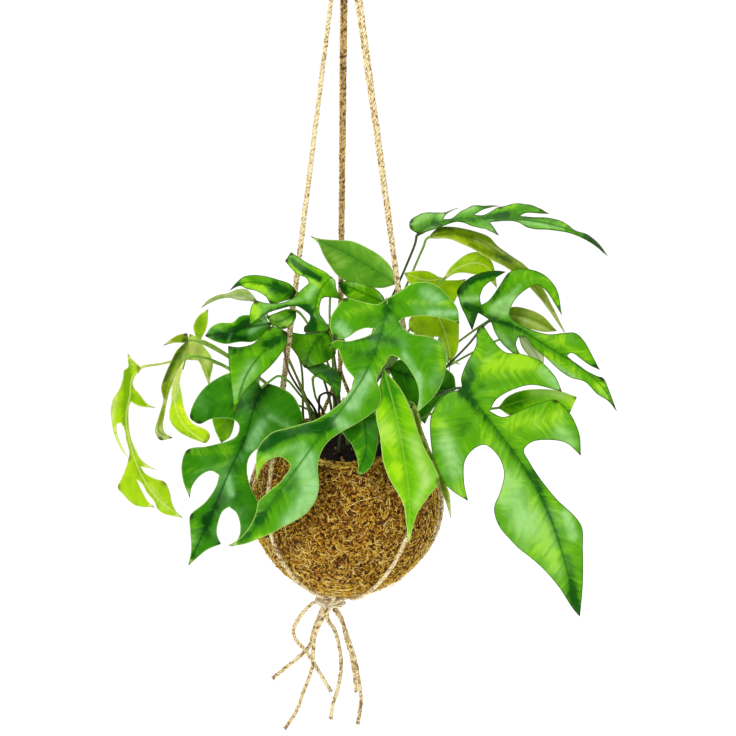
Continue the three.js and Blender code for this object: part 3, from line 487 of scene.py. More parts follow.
        161,388, 163,400, 160,412, 157,422, 155,431, 160,440, 173,438, 166,434, 163,427, 165,413, 167,402,
        170,390, 175,377, 182,364, 188,356]),
    dict(name="left_pale", kind="young", slot="young_leaf", depth=[-4, -8, -14], side=[0.5, 0, 0],
      foot=[-32, 0],
      rib=[201,341, 199,352, 205,366, 209,386],
      edge=[201,341, 206,330, 208,318, 208,309, 198,316, 193,327, 195,336, 189,334, 187,350, 188,358,
        198,361, 203,371, 209,386, 211,375, 213,365, 211,356, 206,349]),
    dict(name="left_yellow", kind="young", stem="green", slot="young_leaf",
         depth=[-30, -44, -54], side=[0.3, 0, 0.01],
      stalk=[[201, 357, -22], [229, 368, -8], [262, 392, -11]], foot=[-28, -12],
      rib=[185,358, 177,380, 175,404, 184,425, 206,443],
      edge=[185,358, 177,372, 172,386, 171,402, 169,415, 171,423, 178,431, 188,437, 198,441, 206,443,
        210,437, 208,431, 201,427, 194,424, 188,417, 184,407, 182,395, 180,383, 182,371]),
    dict(name="right_yellow", kind="young", slot="young_leaf", depth=[16, 14, 10], side=[-0.4, 0, 0.006],
      foot=[24, 16],
      rib=[443,279, 460,267, 478,263, 491,271, 497,288],
      edge=[443,279, 449,269, 458,260, 467,254, 476,252, 485,255, 492,262, 495,271, 497,288, 490,281,
        484,277, 472,274, 458,273]),
    dict(name="right_behind", kind="young", slot="young_leaf", depth=[24, 22, 20], side=[0.2, 0, 0.004],
      foot=[18, 18],
      rib=[442,279, 425,280, 404,273],
      edge=[442,279, 436,275, 427,271, 413,271, 404,273, 410,284, 420,293, 436,301, 452,307, 457,297,
        461,288, 466,279, 455,280]),
    dict(name="right_hanging", kind="young", slot="young_leaf", depth=[2, -4, -10], side=[-0.1, 0, 0.003],
      foot=[25, -2],
      rib=[436,312, 444,330, 449,348, 451,359, 461,365],
      edge=[436,312, 447,311, 457,316, 459,338, 457,352, 453,359, 461,365, 449,361, 446,350, 440,338,
        424,336, 410,330, 410,318, 424,313]),
    dict(name="right_olive", kind="olive", depth=[6, 0, -8], side=[-0.3, 0, 0], foot=[31, 2],
      rib=[504,313, 528,317, 557,331],
      edge=[504,313, 512,307, 528,309, 543,316, 557,331, 545,332, 534,330, 520,326, 510,320]),
    dict(name="right_small", kind="back", depth=[12, 10, 6], side=[-0.2, 0, 0], foot=[30, 9],
      rib=[518,334, 530,345, 543,366],
      edge=[518,334, 522,347, 531,358, 543,366, 544,357, 539,346, 530,337]),
    dict(name="right_low", kind="bright", depth=[-22, -30, -38], side=[-0.3, 0, 0.002],
      stalk=[[440, 412, -33], [420, 418, -33]], foot=[22, -24],
      rib=[498,408, 525,400, 553,397, 570,413],
      edge=[498,408, 507,397, 520,391, 542,389, 560,391, 577,397, 570,413, 560,405, 545,402, 528,411,
        512,416]),
    dict(name="right_dark", kind="deep", stem="dark", depth=[-29, -30, -30], side=[0, 0, 0], foot=[11, -10],
      rib=[388,369, 410,376, 432,386, 456,390],
      edge=[388,369, 396,361, 415,359, 435,362, 447,369, 454,376, 456,390, 447,394, 438,402, 431,412,
        425,424, 418,418, 408,402, 397,385]),
    dict(name="centre_small", depth=[-14, -16, -20], side=[0.2, 0, 0], foot=[8, 4],
      rib=[387,304, 366,294, 338,282],
      edge=[387,304, 383,296, 376,289, 364,284, 352,281, 338,282, 342,292, 350,299, 362,302, 374,306]),
    dict(name="left_olive", kind="bright", depth=[-14, -18, -22], side=[0.1, 0.1, 0], foot=[-20, -2],
      rib=[224,398, 225,420, 221,443],
      edge=[224,398, 213,404, 212,418, 215,430, 221,443, 230,437, 235,418, 234,402]),
    dict(name="back_1", of="front_right", turn=89, grow=0.82, lean=22, out=-5, up=-43, foot=[5, 21]),
    dict(name="back_2", kind="bright", of="centre_bright", turn=149, grow=0.94, lean=1, out=31, up=-81,
      foot=[2, 25]),
    dict(name="back_3", kind="deep", of="left_large", turn=285, grow=0.8, lean=9, out=10, up=9,
      foot=[-25, 13]),
    dict(name="back_4", of="front_right", turn=75, grow=0.81, lean=28, out=-7, up=6, foot=[26, 11]),
    dict(name="back_5", kind="deep", of="left_large", turn=279, grow=0.84, lean=19, out=20, up=-57,
      foot=[-15, 14]),
    dict(name="back_6", of="centre_bright", turn=131, grow=1.06, lean=-9, out=6, up=-52, foot=[-4, 21]),
    dict(name="back_7", kind="deep", of="centre_dark", turn=191, grow=1.08, lean=-20, out=-18, up=30,
      foot=[-5, 15]),
    dict(name="back_8", of="left_pointed", turn=151, grow=0.84, lean=-7, out=16, up=-78, foot=[29, -6]),
    dict(name="back_9", of="left_pointed", turn=206, grow=0.88, lean=9, out=-14, up=-44, foot=[19, 23]),
]


# Brush strokes on the blades, painted in the front view: the stroke's ends, its reach and lightness,
# and its satin where it has any
# The strokes' lightness is partly the blade's own tone and partly painted shade and light: dark folds, shadows
# of other leaves and lit bulges. Their satin is painted sheen.
TONE_SHADE_AND_SHEEN_STROKES = {
    "front_right": [(480, 360, 560, 560, 60, 0.14, 0.08), (516, 500, 552, 560, 22, 0.15, 0.12),
        (461, 388, 484, 418, 5, -0.35), (470, 366, 464, 392, 8, -0.8), (486, 420, 540, 490, 3, -0.3),
        (480, 345, 480, 352, 12, 0.25), (485, 368, 520, 360, 11, 0.6), (530, 366, 545, 370, 9, 0.4, 0.1),
        (545, 372, 560, 388, 6, 0.1, 0.75), (484, 386, 530, 378, 4, -0.25), (440, 404, 446, 420, 7, -0.15),
        (442, 426, 446, 440, 7, 0.3, 0.3), (446, 444, 456, 470, 9, 0, 0.8),
        (456, 488, 462, 498, 8, 0.3, 0.25), (462, 414, 462, 432, 7, -0.35), (520, 424, 556, 418, 10, 0.45),
        (560, 430, 572, 444, 7, 0.2, 0.55), (506, 480, 526, 522, 14, 0.1, 0.6),
        (540, 530, 558, 566, 12, 0.35, 0.2), (500, 470, 502, 500, 6, 0.3, 0.3),
        (534, 470, 560, 545, 4.5, -0.55), (566, 512, 573, 536, 5, 0.1, 0.9), (568, 556, 574, 590, 5, -0.5),
        (572, 596, 577, 612, 6, -0.8), (498, 404, 520, 396, 6, -0.3)],
    "centre_large": [(386, 302, 390, 310, 5, -0.4), (344, 316, 368, 308, 8, 0.4),
        (340, 326, 347, 334, 6, 0, 1), (406, 302, 448, 304, 4, 0.6), (424, 292, 440, 300, 6, 0, 0.7),
        (430, 313, 456, 313, 4, 0, 0.9), (345, 339, 374, 337, 2.5, -1.2), (376, 330, 392, 342, 6, -0.4),
        (404, 354, 418, 376, 4, 0, 0.7), (418, 376, 419, 408, 4, 0, 0.9), (412, 350, 436, 380, 8, -0.1),
        (440, 345, 442, 372, 4, 0.3), (372, 350, 352, 372, 5, -0.3), (366, 378, 352, 404, 8, 0, 1),
        (338, 420, 350, 432, 7, 0, 0.8), (262, 448, 276, 437, 5, -1.2), (276, 437, 334, 421, 5, -1.1),
        (266, 458, 302, 444, 5, 0.35, 0.4), (258, 474, 264, 458, 4, 0.7), (332, 440, 290, 488, 3, -0.3),
        (290, 488, 256, 524, 3, -0.1), (248, 532, 262, 510, 5, -0.3), (306, 460, 312, 496, 11, 0.35, 1),
        (308, 500, 288, 524, 9, 0.35, 0.9), (252, 541, 290, 531, 4, 0.6), (400, 318, 408, 330, 4, -0.3),
        (350, 392, 346, 396, 6, 0, 0.5), (318, 432, 332, 426, 4, -0.4)],
    "centre_bright": [(384, 374, 392, 396, 9, -0.7), (392, 430, 396, 470, 9, 0.45),
        (400, 468, 402, 500, 6, 0.4), (414, 440, 426, 480, 7, 0.25, 0.6), (424, 485, 416, 505, 6, 0.2, 0.5),
        (409, 520, 410, 545, 8, 0.5), (398, 405, 404, 440, 4, -0.2), (380, 410, 384, 440, 5, 0.2)],
    "left_large": [(200, 408, 230, 397, 6, 0.35), (204, 394, 222, 388, 4, 0.1),
        (232, 384, 238, 404, 6, -0.5), (214, 400, 218, 402, 4, -0.3), (252, 400, 262, 392, 8, -0.5),
        (262, 408, 296, 424, 6, 0.3, 0.2), (270, 416, 290, 428, 3, 0.1, 0.5), (251, 446, 262, 424, 6, 0, 1),
        (244, 440, 240, 470, 5, -0.3), (190, 452, 226, 452, 8, 0.4), (186, 464, 192, 484, 5, 0.2),
        (196, 472, 232, 462, 3, 0.3, 0.2), (228, 478, 232, 494, 3.5, 0.2, 0.9),
        (222, 500, 206, 520, 5, -0.5), (194, 520, 192, 548, 5, 0.4), (204, 520, 212, 536, 4, -0.4),
        (214, 528, 212, 544, 3, 0.3), (246, 500, 248, 530, 4, 0.15)],
    "left_pointed": [(240, 350, 250, 380, 16, -0.15), (234, 350, 262, 346, 4, -0.4),
        (240, 358, 258, 352, 7, 0.3), (268, 344, 284, 338, 6, -0.5), (252, 366, 236, 394, 7, 0.1, 0.7),
        (236, 398, 235, 408, 4, 0.5), (262, 358, 272, 350, 5, 0.2, 0.1)],
    "upper_right": [(459, 292, 470, 279, 4, -1.2), (470, 279, 500, 271, 4, -1.3),
        (462, 300, 479, 298, 3.5, 0, 0.8), (466, 306, 478, 312, 4, -1.2), (474, 318, 472, 330, 4, -1.1),
        (507, 276, 492, 302, 3, -0.7), (514, 278, 548, 280, 5, 0.35), (550, 286, 560, 306, 4, 0.25),
        (520, 286, 498, 304, 3, 0, 0.5), (494, 310, 516, 300, 6, 0, 1), (504, 314, 510, 306, 5, 0, 0.7),
        (480, 313, 520, 330, 2, -0.6), (520, 330, 556, 354, 1.6, -0.2), (520, 324, 556, 344, 4, 0.1, 0.2),
        (498, 334, 512, 350, 5, -0.1, 0.8), (536, 336, 548, 342, 5, 0.2), (562, 342, 588, 358, 7, 0.5),
        (594, 368, 602, 376, 4, -1.3), (550, 362, 578, 380, 3, 0, 0.9), (548, 354, 600, 384, 6, 0.5),
        (600, 386, 612, 402, 4, 0.9), (614, 406, 617, 412, 3, -0.9)],
    "star": [(288, 262, 300, 274, 2.5, 0.9), (300, 274, 316, 282, 2.5, 0.8, 0.2),
        (292, 261, 304, 271, 2.5, -1.7), (304, 271, 319, 279, 2.5, -1.7), (296, 258, 326, 273, 3, 0.4),
        (331, 277, 318, 286, 4, 0.5), (331, 277, 344, 298, 2.5, 0.3, 0.8), (314, 288, 308, 296, 5, 0, 0.8),
        (300, 300, 270, 304, 2.5, 0.3, 0.6), (262, 316, 286, 309, 3, -1.4), (286, 309, 306, 308, 3, -1.4),
        (322, 290, 318, 312, 3, 0.7), (308, 310, 312, 330, 5, -1.4), (316, 315, 329, 327, 2.5, 0.2, 0.7),
        (252, 302, 258, 316, 6, 0.9), (266, 305, 258, 318, 3, 0.3, 0.2), (326, 288, 334, 296, 4, -0.1)],
    "arch": [(243, 283, 262, 289, 4, 0.9), (262, 289, 272, 299, 4, 0.7), (252, 277, 282, 281, 4, 0.1),
        (274, 286, 292, 296, 7, -0.6), (230, 293, 240, 284, 2.5, -0.8), (260, 283, 270, 288, 3, -0.2)],
    "left_dark": [(216, 334, 260, 330, 12, 0.2), (214, 328, 234, 324, 3.5, 0.5),
        (218, 336, 244, 339, 4, -1.3), (232, 330, 250, 322, 3, -1.5), (250, 332, 266, 322, 3, 0, 1),
        (252, 328, 258, 320, 2, 0.5), (228, 341, 232, 330, 1.6, 0.6, 0.4)],
    "back_top": [(330, 246, 380, 276, 22, 0.25), (322, 244, 340, 262, 7, 0.35, 0.1),
        (356, 262, 380, 280, 9, -0.3), (378, 258, 392, 276, 6, 0.2, 0.2)],
    "left_pale": [(213, 350, 209, 386, 2.5, -1.5), (196, 346, 206, 364, 7, 0.2, 1),
        (192, 340, 194, 354, 4, 0, 0.5), (198, 316, 196, 334, 7, -0.5)],
    "left_yellow": [(186, 362, 172, 396, 6, -1.3, 0.9), (180, 366, 172, 398, 2, 0.7, 1),
        (178, 406, 200, 436, 9, 0.5), (170, 424, 192, 440, 2, -1)],
    "left_tendril": [(180, 350, 168, 392, 3, 0.5), (186, 340, 164, 380, 2.5, -1),
        (186, 352, 172, 380, 2, 0, 0.6), (166, 400, 160, 424, 4, 0.3, 0.3),
        (156, 430, 172, 440, 6, 0.4, 0.9)],
    "right_olive": [(513, 315, 548, 330, 2, 0.5, 0.8), (516, 311, 548, 326, 4, 0.4),
        (520, 326, 540, 330, 3, 0.4, 0.3)],
    "right_low": [(508, 404, 522, 398, 6, -0.5), (536, 390, 562, 392, 7, 0.9, 1),
        (566, 394, 574, 404, 6, 0.9, 0.2)],
    "right_small": [(522, 340, 542, 362, 6, 0.9, 0.9), (532, 342, 547, 358, 1.5, -1.2)],
    "centre_dark": [(346, 404, 356, 428, 4, -0.5), (362, 420, 366, 450, 4, 0.4),
        (358, 456, 358, 470, 6, 0.6)],
    "centre_olive": [(286, 338, 316, 344, 7, 0.1), (318, 338, 326, 356, 5, -0.6)],
    "centre_curved": [(312, 362, 332, 372, 6, -0.8), (312, 358, 334, 366, 2, 0.6, 0.4),
        (338, 376, 340, 400, 4, -0.4)],
    "below_top": [(434, 232, 486, 250, 8, 0.7), (446, 229, 482, 240, 1.5, -0.5),
        (476, 240, 524, 262, 2, 0.4, 0.9), (470, 246, 510, 262, 2, -0.9), (492, 258, 530, 268, 3, 0.4, 0.3),
        (534, 290, 556, 326, 4, 0.4, 0.2)],
    "top_right": [(412, 224, 430, 215, 4, 0.4, 0.7), (434, 225, 474, 221, 2.5, -0.4),
        (440, 216, 474, 206, 4, 0.4, 1), (458, 228, 494, 233, 4, 0.5, 1), (482, 218, 514, 211, 2, -0.5),
        (488, 212, 524, 205, 3, 0.5), (500, 216, 560, 217, 2, -0.3), (522, 222, 562, 228, 3, 0.4, 0.8),
        (560, 222, 580, 230, 4, 0.5), (588, 236, 606, 253, 4, -1.2)],
    "small_bright": [(272, 316, 290, 324, 6, 0.8, 0.45), (268, 322, 284, 328, 3, 0.4),
        (290, 312, 294, 318, 3, -0.5)],
    "centre_small": [(340, 284, 345, 292, 3.5, -1), (354, 290, 374, 296, 6, 0.5),
        (380, 294, 384, 300, 3, 0, 0.8), (350, 284, 364, 284, 3, 0.2, 0.5)],
    "arch_under": [(214, 300, 250, 294, 2, -0.6), (226, 296, 252, 298, 3, 0.3, 0.6)],
    "left_olive": [(222, 424, 226, 438, 7, 0.5)],
    "far_left": [(128, 364, 127, 420, 4, -1), (114, 394, 109, 432, 4, 0, 1), (134, 370, 132, 384, 3, 0.4),
        (122, 462, 126, 494, 8, 0.2), (136, 446, 150, 470, 3, 0, 1), (150, 486, 166, 508, 4, 0.3, 0.4)],
}


# Leaves


def pairs(values):
    return np.array(values, float).reshape(-1, 2)


def depth_of(leaf):
    """The depth of a leaf over points of the front view."""
    rib = pairs(leaf["rib"])
    base, way = rib[0], rib[-1] - rib[0]
    length = np.hypot(*way)
    ux, uy = way / length
    line = rib - base
    line_u, line_w = line @ (ux, uy), line @ (-uy, ux)
    near, middle, far = leaf["depth"]
    slope, fold, cup = leaf["side"]

    def depth(x, y):
        u = (x - base[0]) * ux + (y - base[1]) * uy
        w = ((y - base[1]) * ux - (x - base[0]) * uy - np.interp(u, line_u, line_w)) * VIEW_UNIT
        s = np.clip(u / length, -0.5, 1.2)
        main = near + (4 * middle - 3 * near - far) * s + (2 * near + 2 * far - 4 * middle) * s * s
        return main + slope * w + fold * (np.sqrt(w * w + 4) - 2) + cup * w * w

    return depth


def turned(points, axis, angle):
    kept = np.outer(points @ axis, axis)
    return points * cos(angle) + np.cross(axis, points) * sin(angle) + kept * (1 - cos(angle))


def placer(leaf):
    """A leaf of the back is scaled, leaned about its base, moved outwards and up, and turned about Z."""
    base = lift(leaf["rib"][0], leaf["rib"][1], leaf["depth"][0])
    radial = unit(np.array([base[0], base[1], 0.0]))
    hinge = np.array([-radial[1], radial[0], 0.0])
    moved = base + radial * leaf.get("out", 0) + (0, 0, leaf.get("up", 0))

    def place(points):
        p = turned((points - base) * leaf.get("grow", 1), hinge, radians(leaf.get("lean", 0)))
        return turned(p + moved, np.array([0, 0, 1.0]), radians(leaf.get("turn", 0)))

    return place


def ways_at(edge):
    """The directions into and out of each point of a closed line."""
    return unit(edge - np.roll(edge, 1, 0)), unit(np.roll(edge, -1, 0) - edge)


def smooth_outline(edge, step):
    """The outline as a smooth closed line that keeps its sharp tips and notches."""
    before, after = ways_at(edge)
    corners = np.flatnonzero((before * after).sum(1) < cos(radians(SHARP_TURN)))
    if not len(corners):
        return evenly(spline(edge, 8 * len(edge), closed=True), step)[:-1]
    runs = []
    for k, start in enumerate(corners):
        end = corners[(k + 1) % len(corners)]
        count = (end - start) % len(edge) or len(edge)
        run = edge[(start + np.arange(count + 1)) % len(edge)]
        runs.append(evenly(spline(run, 8 * count), step)[:-1])
    return np.concatenate(runs)


def sharp_tips(edge):
    """The outline's points that stand out sharply."""
    before, after = ways_at(edge)
    bend = np.arctan2(before[:, 0] * after[:, 1] - before[:, 1] * after[:, 0], (before * after).sum(1))
    bend = bend * np.sign(bend.sum())
    return edge[bend >= min(radians(FEWEST_TIP_DEGREES), bend.max())]


def inside(outline, points):
    """Which points lie inside a closed outline."""
    x, y = points[:, 0], points[:, 1]
    found = np.zeros(len(points), bool)
    for (ax, ay), (bx, by) in zip(outline, np.roll(outline, -1, 0)):
        if ay != by:
            found ^= ((ay > y) != (by > y)) & (x < (bx - ax) * (y - ay) / (by - ay) + ax)
    return found


def nearest(points, line):
    """The distance from each point to the nearest one of a line, and its index."""
    best, index = [], []
    for block in np.array_split(points, max(1, len(points) // 400)):
        d = np.linalg.norm(block[:, None] - line[None], axis=2)
        index.append(d.argmin(1))
        best.append(d.min(1))
    return np.concatenate(best), np.concatenate(index)


def lobe_veins(points, faces, rib_line, outline, edge_distance, rib_distance):
    """A vein from the midrib to the end of each lobe, along the cheapest way through the blade's mesh."""
    near = [dict() for _ in points]
    for face in faces:
        for a, b in zip(face, np.roll(face, -1)):
            cost = float(np.linalg.norm(points[a] - points[b]))
            cost *= 1 + 7 / (1.5 + 0.5 * (edge_distance[a] + edge_distance[b]))
            near[a][b] = near[b][a] = cost
    along = nearest(points, rib_line)[1] / len(rib_line)
    heap = [(VEIN_LEAN * along[i] * len(rib_line), int(i), -1) for i in np.flatnonzero(rib_distance < 2.2)]
    heapq.heapify(heap)
    came, done = {}, set()
    while heap:
        cost, i, source = heapq.heappop(heap)
        if i in done:
            continue
        done.add(i)
        came[i] = source
        for j, more in near[i].items():
            if j not in done:
                heapq.heappush(heap, (cost + more, int(j), i))
    reach = nearest(outline, rib_line)[0]
    window = max(3, int(LOBE_WINDOW / OUTLINE_STEP))
    around = np.stack([np.roll(reach, k) for k in range(-window, window + 1)])
    tips = np.flatnonzero((reach >= around.max(0)) & (reach > LEAST_LOBE))
    veins = []
    for tip in outline[tips]:
        i = int(np.linalg.norm(points - tip, axis=1).argmin())
        way = []
        while i != -1 and i in came:
            way.append(points[i])
            i = came[i]
        if len(way) > 4:
            way = np.array(way[::-1])
            for _ in range(6):
                way[1:-1] = (way[:-2] + 2 * way[1:-1] + way[2:]) / 4
            veins.append(evenly(way, 1.0))
    return veins


def flat_blade(leaf):
    """The blade's mesh in the front view, and its marks: distances to the edge and to the veins."""
    outline = smooth_outline(pairs(leaf["edge"]), OUTLINE_STEP)
    rib = pairs(leaf["rib"])
    rib_line = evenly(spline(rib, 12 * len(rib)), OUTLINE_STEP)
    low, high = outline.min(0), outline.max(0)
    rows = np.arange(low[1], high[1], BLADE_STEP * sqrt(3) / 2)
    columns = np.arange(low[0], high[0], BLADE_STEP)
    grid = np.concatenate([np.stack([columns + (k % 2) * BLADE_STEP / 2, np.full(len(columns), y)], -1)
                           for k, y in enumerate(rows)])
    keep = inside(outline, grid) & (nearest(grid, outline)[0] > 0.6 * BLADE_STEP)
    keep &= nearest(grid, rib_line)[0] > 0.5 * BLADE_STEP
    rib_inner = rib_line[1:-1]
    rib_inner = rib_inner[inside(outline, rib_inner) & (nearest(rib_inner, outline)[0] > 0.6 * BLADE_STEP)]
    every = np.concatenate([outline, rib_inner, grid[keep]])
    loop = [(i, (i + 1) % len(outline)) for i in range(len(outline))]
    made = geometry.delaunay_2d_cdt([Vector(p) for p in every], loop, [], 1, 1e-4)
    points = np.array([tuple(p) for p in made[0]])
    faces = np.array([tuple(f) for f in made[2] if len(f) == 3])
    a, b, c = (points[faces[:, k]] for k in range(3))
    twice = (b[:, 0] - a[:, 0]) * (c[:, 1] - a[:, 1]) - (b[:, 1] - a[:, 1]) * (c[:, 0] - a[:, 0])
    faces = np.where((twice > 0)[:, None], faces[:, ::-1], faces)[np.abs(twice) > 1e-6]
    used = np.unique(faces)
    renumber = np.full(len(points), -1)
    renumber[used] = np.arange(len(used))
    points, faces = points[used], renumber[faces]
    edge_distance = nearest(points, outline)[0]
    rib_distance, rib_index = nearest(points, rib_line)
    veins = lobe_veins(points, faces, rib_line, outline, edge_distance, rib_distance)
    distance, along = rib_distance.copy(), rib_index * OUTLINE_STEP
    level = np.zeros(len(points))
    for vein in veins:
        d, index = nearest(points, vein)
        d = d + 1.5
        closer = d < distance
        distance, along = np.where(closer, d, distance), np.where(closer, index * 1.0, along)
        level = np.where(closer, 0.3 + 0.7 * index / len(vein), level)
    stripe = (along - 0.75 * distance) * VIEW_UNIT / SIDE_VEIN_SPACING
    tips = np.exp(-(nearest(points, sharp_tips(pairs(leaf["edge"])))[0] / TIP_REACH) ** 2)
    none = level * 0
    marks = np.stack([edge_distance, distance - np.where(level > 0, 1.5, 0), stripe,
                      rib_distance, level, none, none, tips, none], -1)
    marks[:, [0, 1, 3]] *= VIEW_UNIT
    return points, faces, marks, rib_index / len(rib_line), rib_line


def waves(points, size, seed, count=7):
    """A smooth irregular value between about -1 and 1 over points in space."""
    draw = np.random.default_rng(seed)
    ways = unit(draw.normal(size=(count, 3))) * 2 * pi / size * draw.uniform(0.6, 1.6, (count, 1))
    return np.sin(points @ ways.T + draw.uniform(0, 2 * pi, count)).sum(1) / sqrt(count)


def surface_of(leaf, x, y):
    """Points of the placed blade over the front view, and the directions out of its upper side."""
    depth, place = depth_of(leaf), placer(leaf)
    h = 0.5
    right, left, above, below, middle = (place(lift(u, v, depth(u, v))) for u, v in (
        (x + h, y), (x - h, y), (x, y - h), (x, y + h), (x, y)))
    return middle, unit(np.cross(right - left, above - below))


def leaf_paint(leaf, points):
    """How much lighter or darker, and how satin, the blade is painted at each point."""
    # lightness: the blade's own tone with painted shade and light; satin: painted sheen
    paint = np.zeros((len(points), 2))
    for x0, y0, x1, y1, reach, light, *painted_sheen in TONE_SHADE_AND_SHEEN_STROKES.get(leaf.get("of", leaf["name"]), ()):
        run = np.array([x1 - x0, y1 - y0], float)
        share = np.clip((points - (x0, y0)) @ run / (run @ run), 0, 1)
        away = ((points - (x0, y0) - share[:, None] * run) ** 2).sum(1)
        paint += np.exp(-away / reach ** 2)[:, None] * (light, sum(painted_sheen))
    return paint


def blade(shape, leaf, flat, seed):
    points, faces, marks, along, rib_line = flat
    x, y = points.T
    middle, normal = surface_of(leaf, x, y)
    edge, vein, stripe, rib_distance, level = marks[:, :5].T
    marks = marks.copy()
    # Column 4 takes the strokes' lightness, tone with painted shade and light, and column 6 their painted sheen
    marks[:, [4, 6]] = leaf_paint(leaf, points)
    size = sqrt(len(points)) / 40
    full = min(1, size)
    off_rib = np.clip(rib_distance / 8, 0, 1)
    relief = -MIDRIB_GROOVE * full * np.exp(-(rib_distance / GROOVE_WIDTH) ** 2) * (1 - 0.7 * along)
    relief -= VEIN_GROOVE * full * np.exp(-(vein / GROOVE_WIDTH) ** 2) * (level > 0) * (1 - 0.6 * level)
    bulge = 0.5 - 0.5 * np.cos(2 * pi * (stripe + 0.12 * waves(middle, 18, seed)))
    relief += SIDE_BULGE * full * bulge * np.clip(vein / 4, 0, 1) * np.clip(edge / 3, 0, 1)
    relief += BLADE_WAVE * full * waves(middle, BLADE_WAVE_LENGTH, seed + 1) * off_rib
    near_edge = np.clip(1 - edge / 7, 0, 1)
    relief += EDGE_WAVE * full * waves(middle, EDGE_WAVE_LENGTH, seed + 2) * near_edge * off_rib
    middle = middle + normal * relief[:, None]
    half = BLADE_HALF * np.clip(0.35 + edge / 1.5, 0.35, 1)[:, None]
    top, under = middle + normal * half, middle - normal * half
    n = len(points)
    ways = np.concatenate([faces[:, [0, 1]], faces[:, [1, 2]], faces[:, [2, 0]]])
    code = ways.min(1) * n + ways.max(1)
    once = np.isin(code, [c for c, k in zip(*np.unique(code, return_counts=True)) if k == 1])
    rim = ways[once]
    wall = np.stack([rim[:, 1], rim[:, 0], rim[:, 0] + n, rim[:, 1] + n], -1)
    below = marks.copy()
    below[:, 5] = 1
    shape.add(np.concatenate([top, under]), [faces, faces[:, ::-1] + n, wall], np.concatenate([marks, below]))
    # The midrib stands out under the blade
    line = rib_line[2:-2:3]
    on, out = surface_of(leaf, *line.T)
    keep = inside(pairs(leaf["edge"]), line)
    if keep.sum() > 3:
        groove = MIDRIB_GROOVE * full * (1 - 0.7 * np.linspace(0, 1, len(on)))
        radius = MIDRIB_RADIUS * np.linspace(1, 0.25, len(on)) * min(1, max(0.55, size))
        on = on - out * (groove + BLADE_HALF + 0.75 * radius)[:, None]
        ring, skin, _ = sweep(on[keep][None], out[keep][None], radius[keep][None], 6)
        note = np.zeros((len(ring), 9))
        note[:, 1] = 0.5
        shape.add(ring, skin, note, look=1)


def stalk_line(leaf):
    """The stalk's route from the soil to the base, running on under the first part of the midrib."""
    rib, depth, place = pairs(leaf["rib"]), depth_of(leaf), placer(leaf)
    ends = [(*p, depth(*p) + 0.4) for p in (rib[0], (rib[0] + rib[1]) / 2)]
    base, into, *via = (place(lift(*p).reshape(1, 3))[0] for p in (*ends, *leaf.get("stalk", [])))
    foot = on_soil(*leaf["foot"])
    way = (via[-1] if via else base) - foot
    rise = foot + (way[0] * 0.06, way[1] * 0.06, max(8, way[2] * 0.3))
    return spline([foot, foot + (0, 0, 2.5), rise, *via[::-1], base, into], 90)


def stalk(shape, leaf):
    line = evenly(stalk_line(leaf), STALK_STEP)
    rib = pairs(leaf["rib"])
    _, out = surface_of(leaf, *((rib[:1] + rib[1:2]) / 2).T)
    base = surface_of(leaf, *rib[:1].T)[0][0]
    run = length_of(line) - distances(line)
    reach = float(np.linalg.norm(line[-1] - base))
    line = line - out[0] * (STALK_UNDER * np.clip(1.6 - run / max(reach, 4), 0, 1))[:, None]
    _, normals, _ = carried(line)
    along = np.linspace(0, 1, len(line))
    length = length_of(line)
    radius = STALK_RADIUS - 0.18 * np.sin(pi * along) - 0.12 * along
    radius += 0.55 * np.exp(-((along * length - 3) / 9) ** 2)
    radius += 0.16 * np.exp(-(((1 - along) * length - 6) / 4) ** 2)
    note = np.zeros((1, len(line), 9))
    note[0, :, 1] = along
    shape.add(*sweep(line[None], normals[None], radius[None], STALK_SIDES, note), look=1)


def leaf_pieces(materials):
    """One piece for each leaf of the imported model, blade and stalk together."""
    flats = {}
    sources = {leaf["name"]: leaf for leaf in LEAVES}
    for number, row in enumerate(LEAVES):
        source = row.get("of", row["name"])
        leaf = {**sources[source], "stalk": [], **row} if "of" in row else row
        if source not in flats:
            flats[source] = flat_blade(leaf)
        shape = Shape()
        blade(shape, leaf, flats[source], 100 + 10 * number)
        stalk(shape, leaf)
        looks = [materials[row.get("kind", "mid")], materials["stalk_" + row.get("stem", "olive")]]
        shape.piece("foliage_" + row["name"], looks, ["leaf_" + row["name"]])


# Cords and knots

LEGS = [
    dict(name="left", heading=198.5, goal=(-56, -20.7, -472), turn=(20, -8), latitude=20, touch=(214, 176),
         end=(248, 185)),
    dict(name="right", heading=-24.5, goal=(60.3, -27, -472), turn=(-72, -34), latitude=11, touch=(-2, -47),
         end=(-8, -85)),
    dict(name="back", heading=94, goal=(-5.5, 66.2, -472), turn=(52, 78), latitude=11, touch=(114, 74),
         end=(128, 56)),
]

TAILS = [
    [(316, 602, -6), (307, 608, -8), (299, 618, -9), (293, 631, -9), (296, 640, -9), (305, 650, -8),
     (316, 667, -7), (330, 690, -6)],
    [(322, 606, -1), (318, 618, 4), (312, 636, 6), (310, 645, 3), (303, 653, 0), (289, 665, -2),
     (274, 677, -3)],
    [(327, 609, -12), (321, 621, -14), (315, 635, -14), (313, 652, -14), (312, 668, -13), (303, 693, -12),
     (296, 712, -10), (286, 727, -9)],
    [(329, 610, -2), (327, 618, -1), (334, 629, -1), (339, 645, -1), (341, 667, -1), (338, 687, 0),
     (333, 704, 0), (331, 717, 0)],
    [(334, 610, -9), (342, 622, -9), (349, 641, -8), (355, 660, -7), (359, 682, -6), (361, 700, -6),
     (358, 722, -5)],
    [(337, 609, 3), (342, 620, 5), (346, 638, 6), (351, 655, 5), (354, 672, 4), (356, 690, 4)],
]

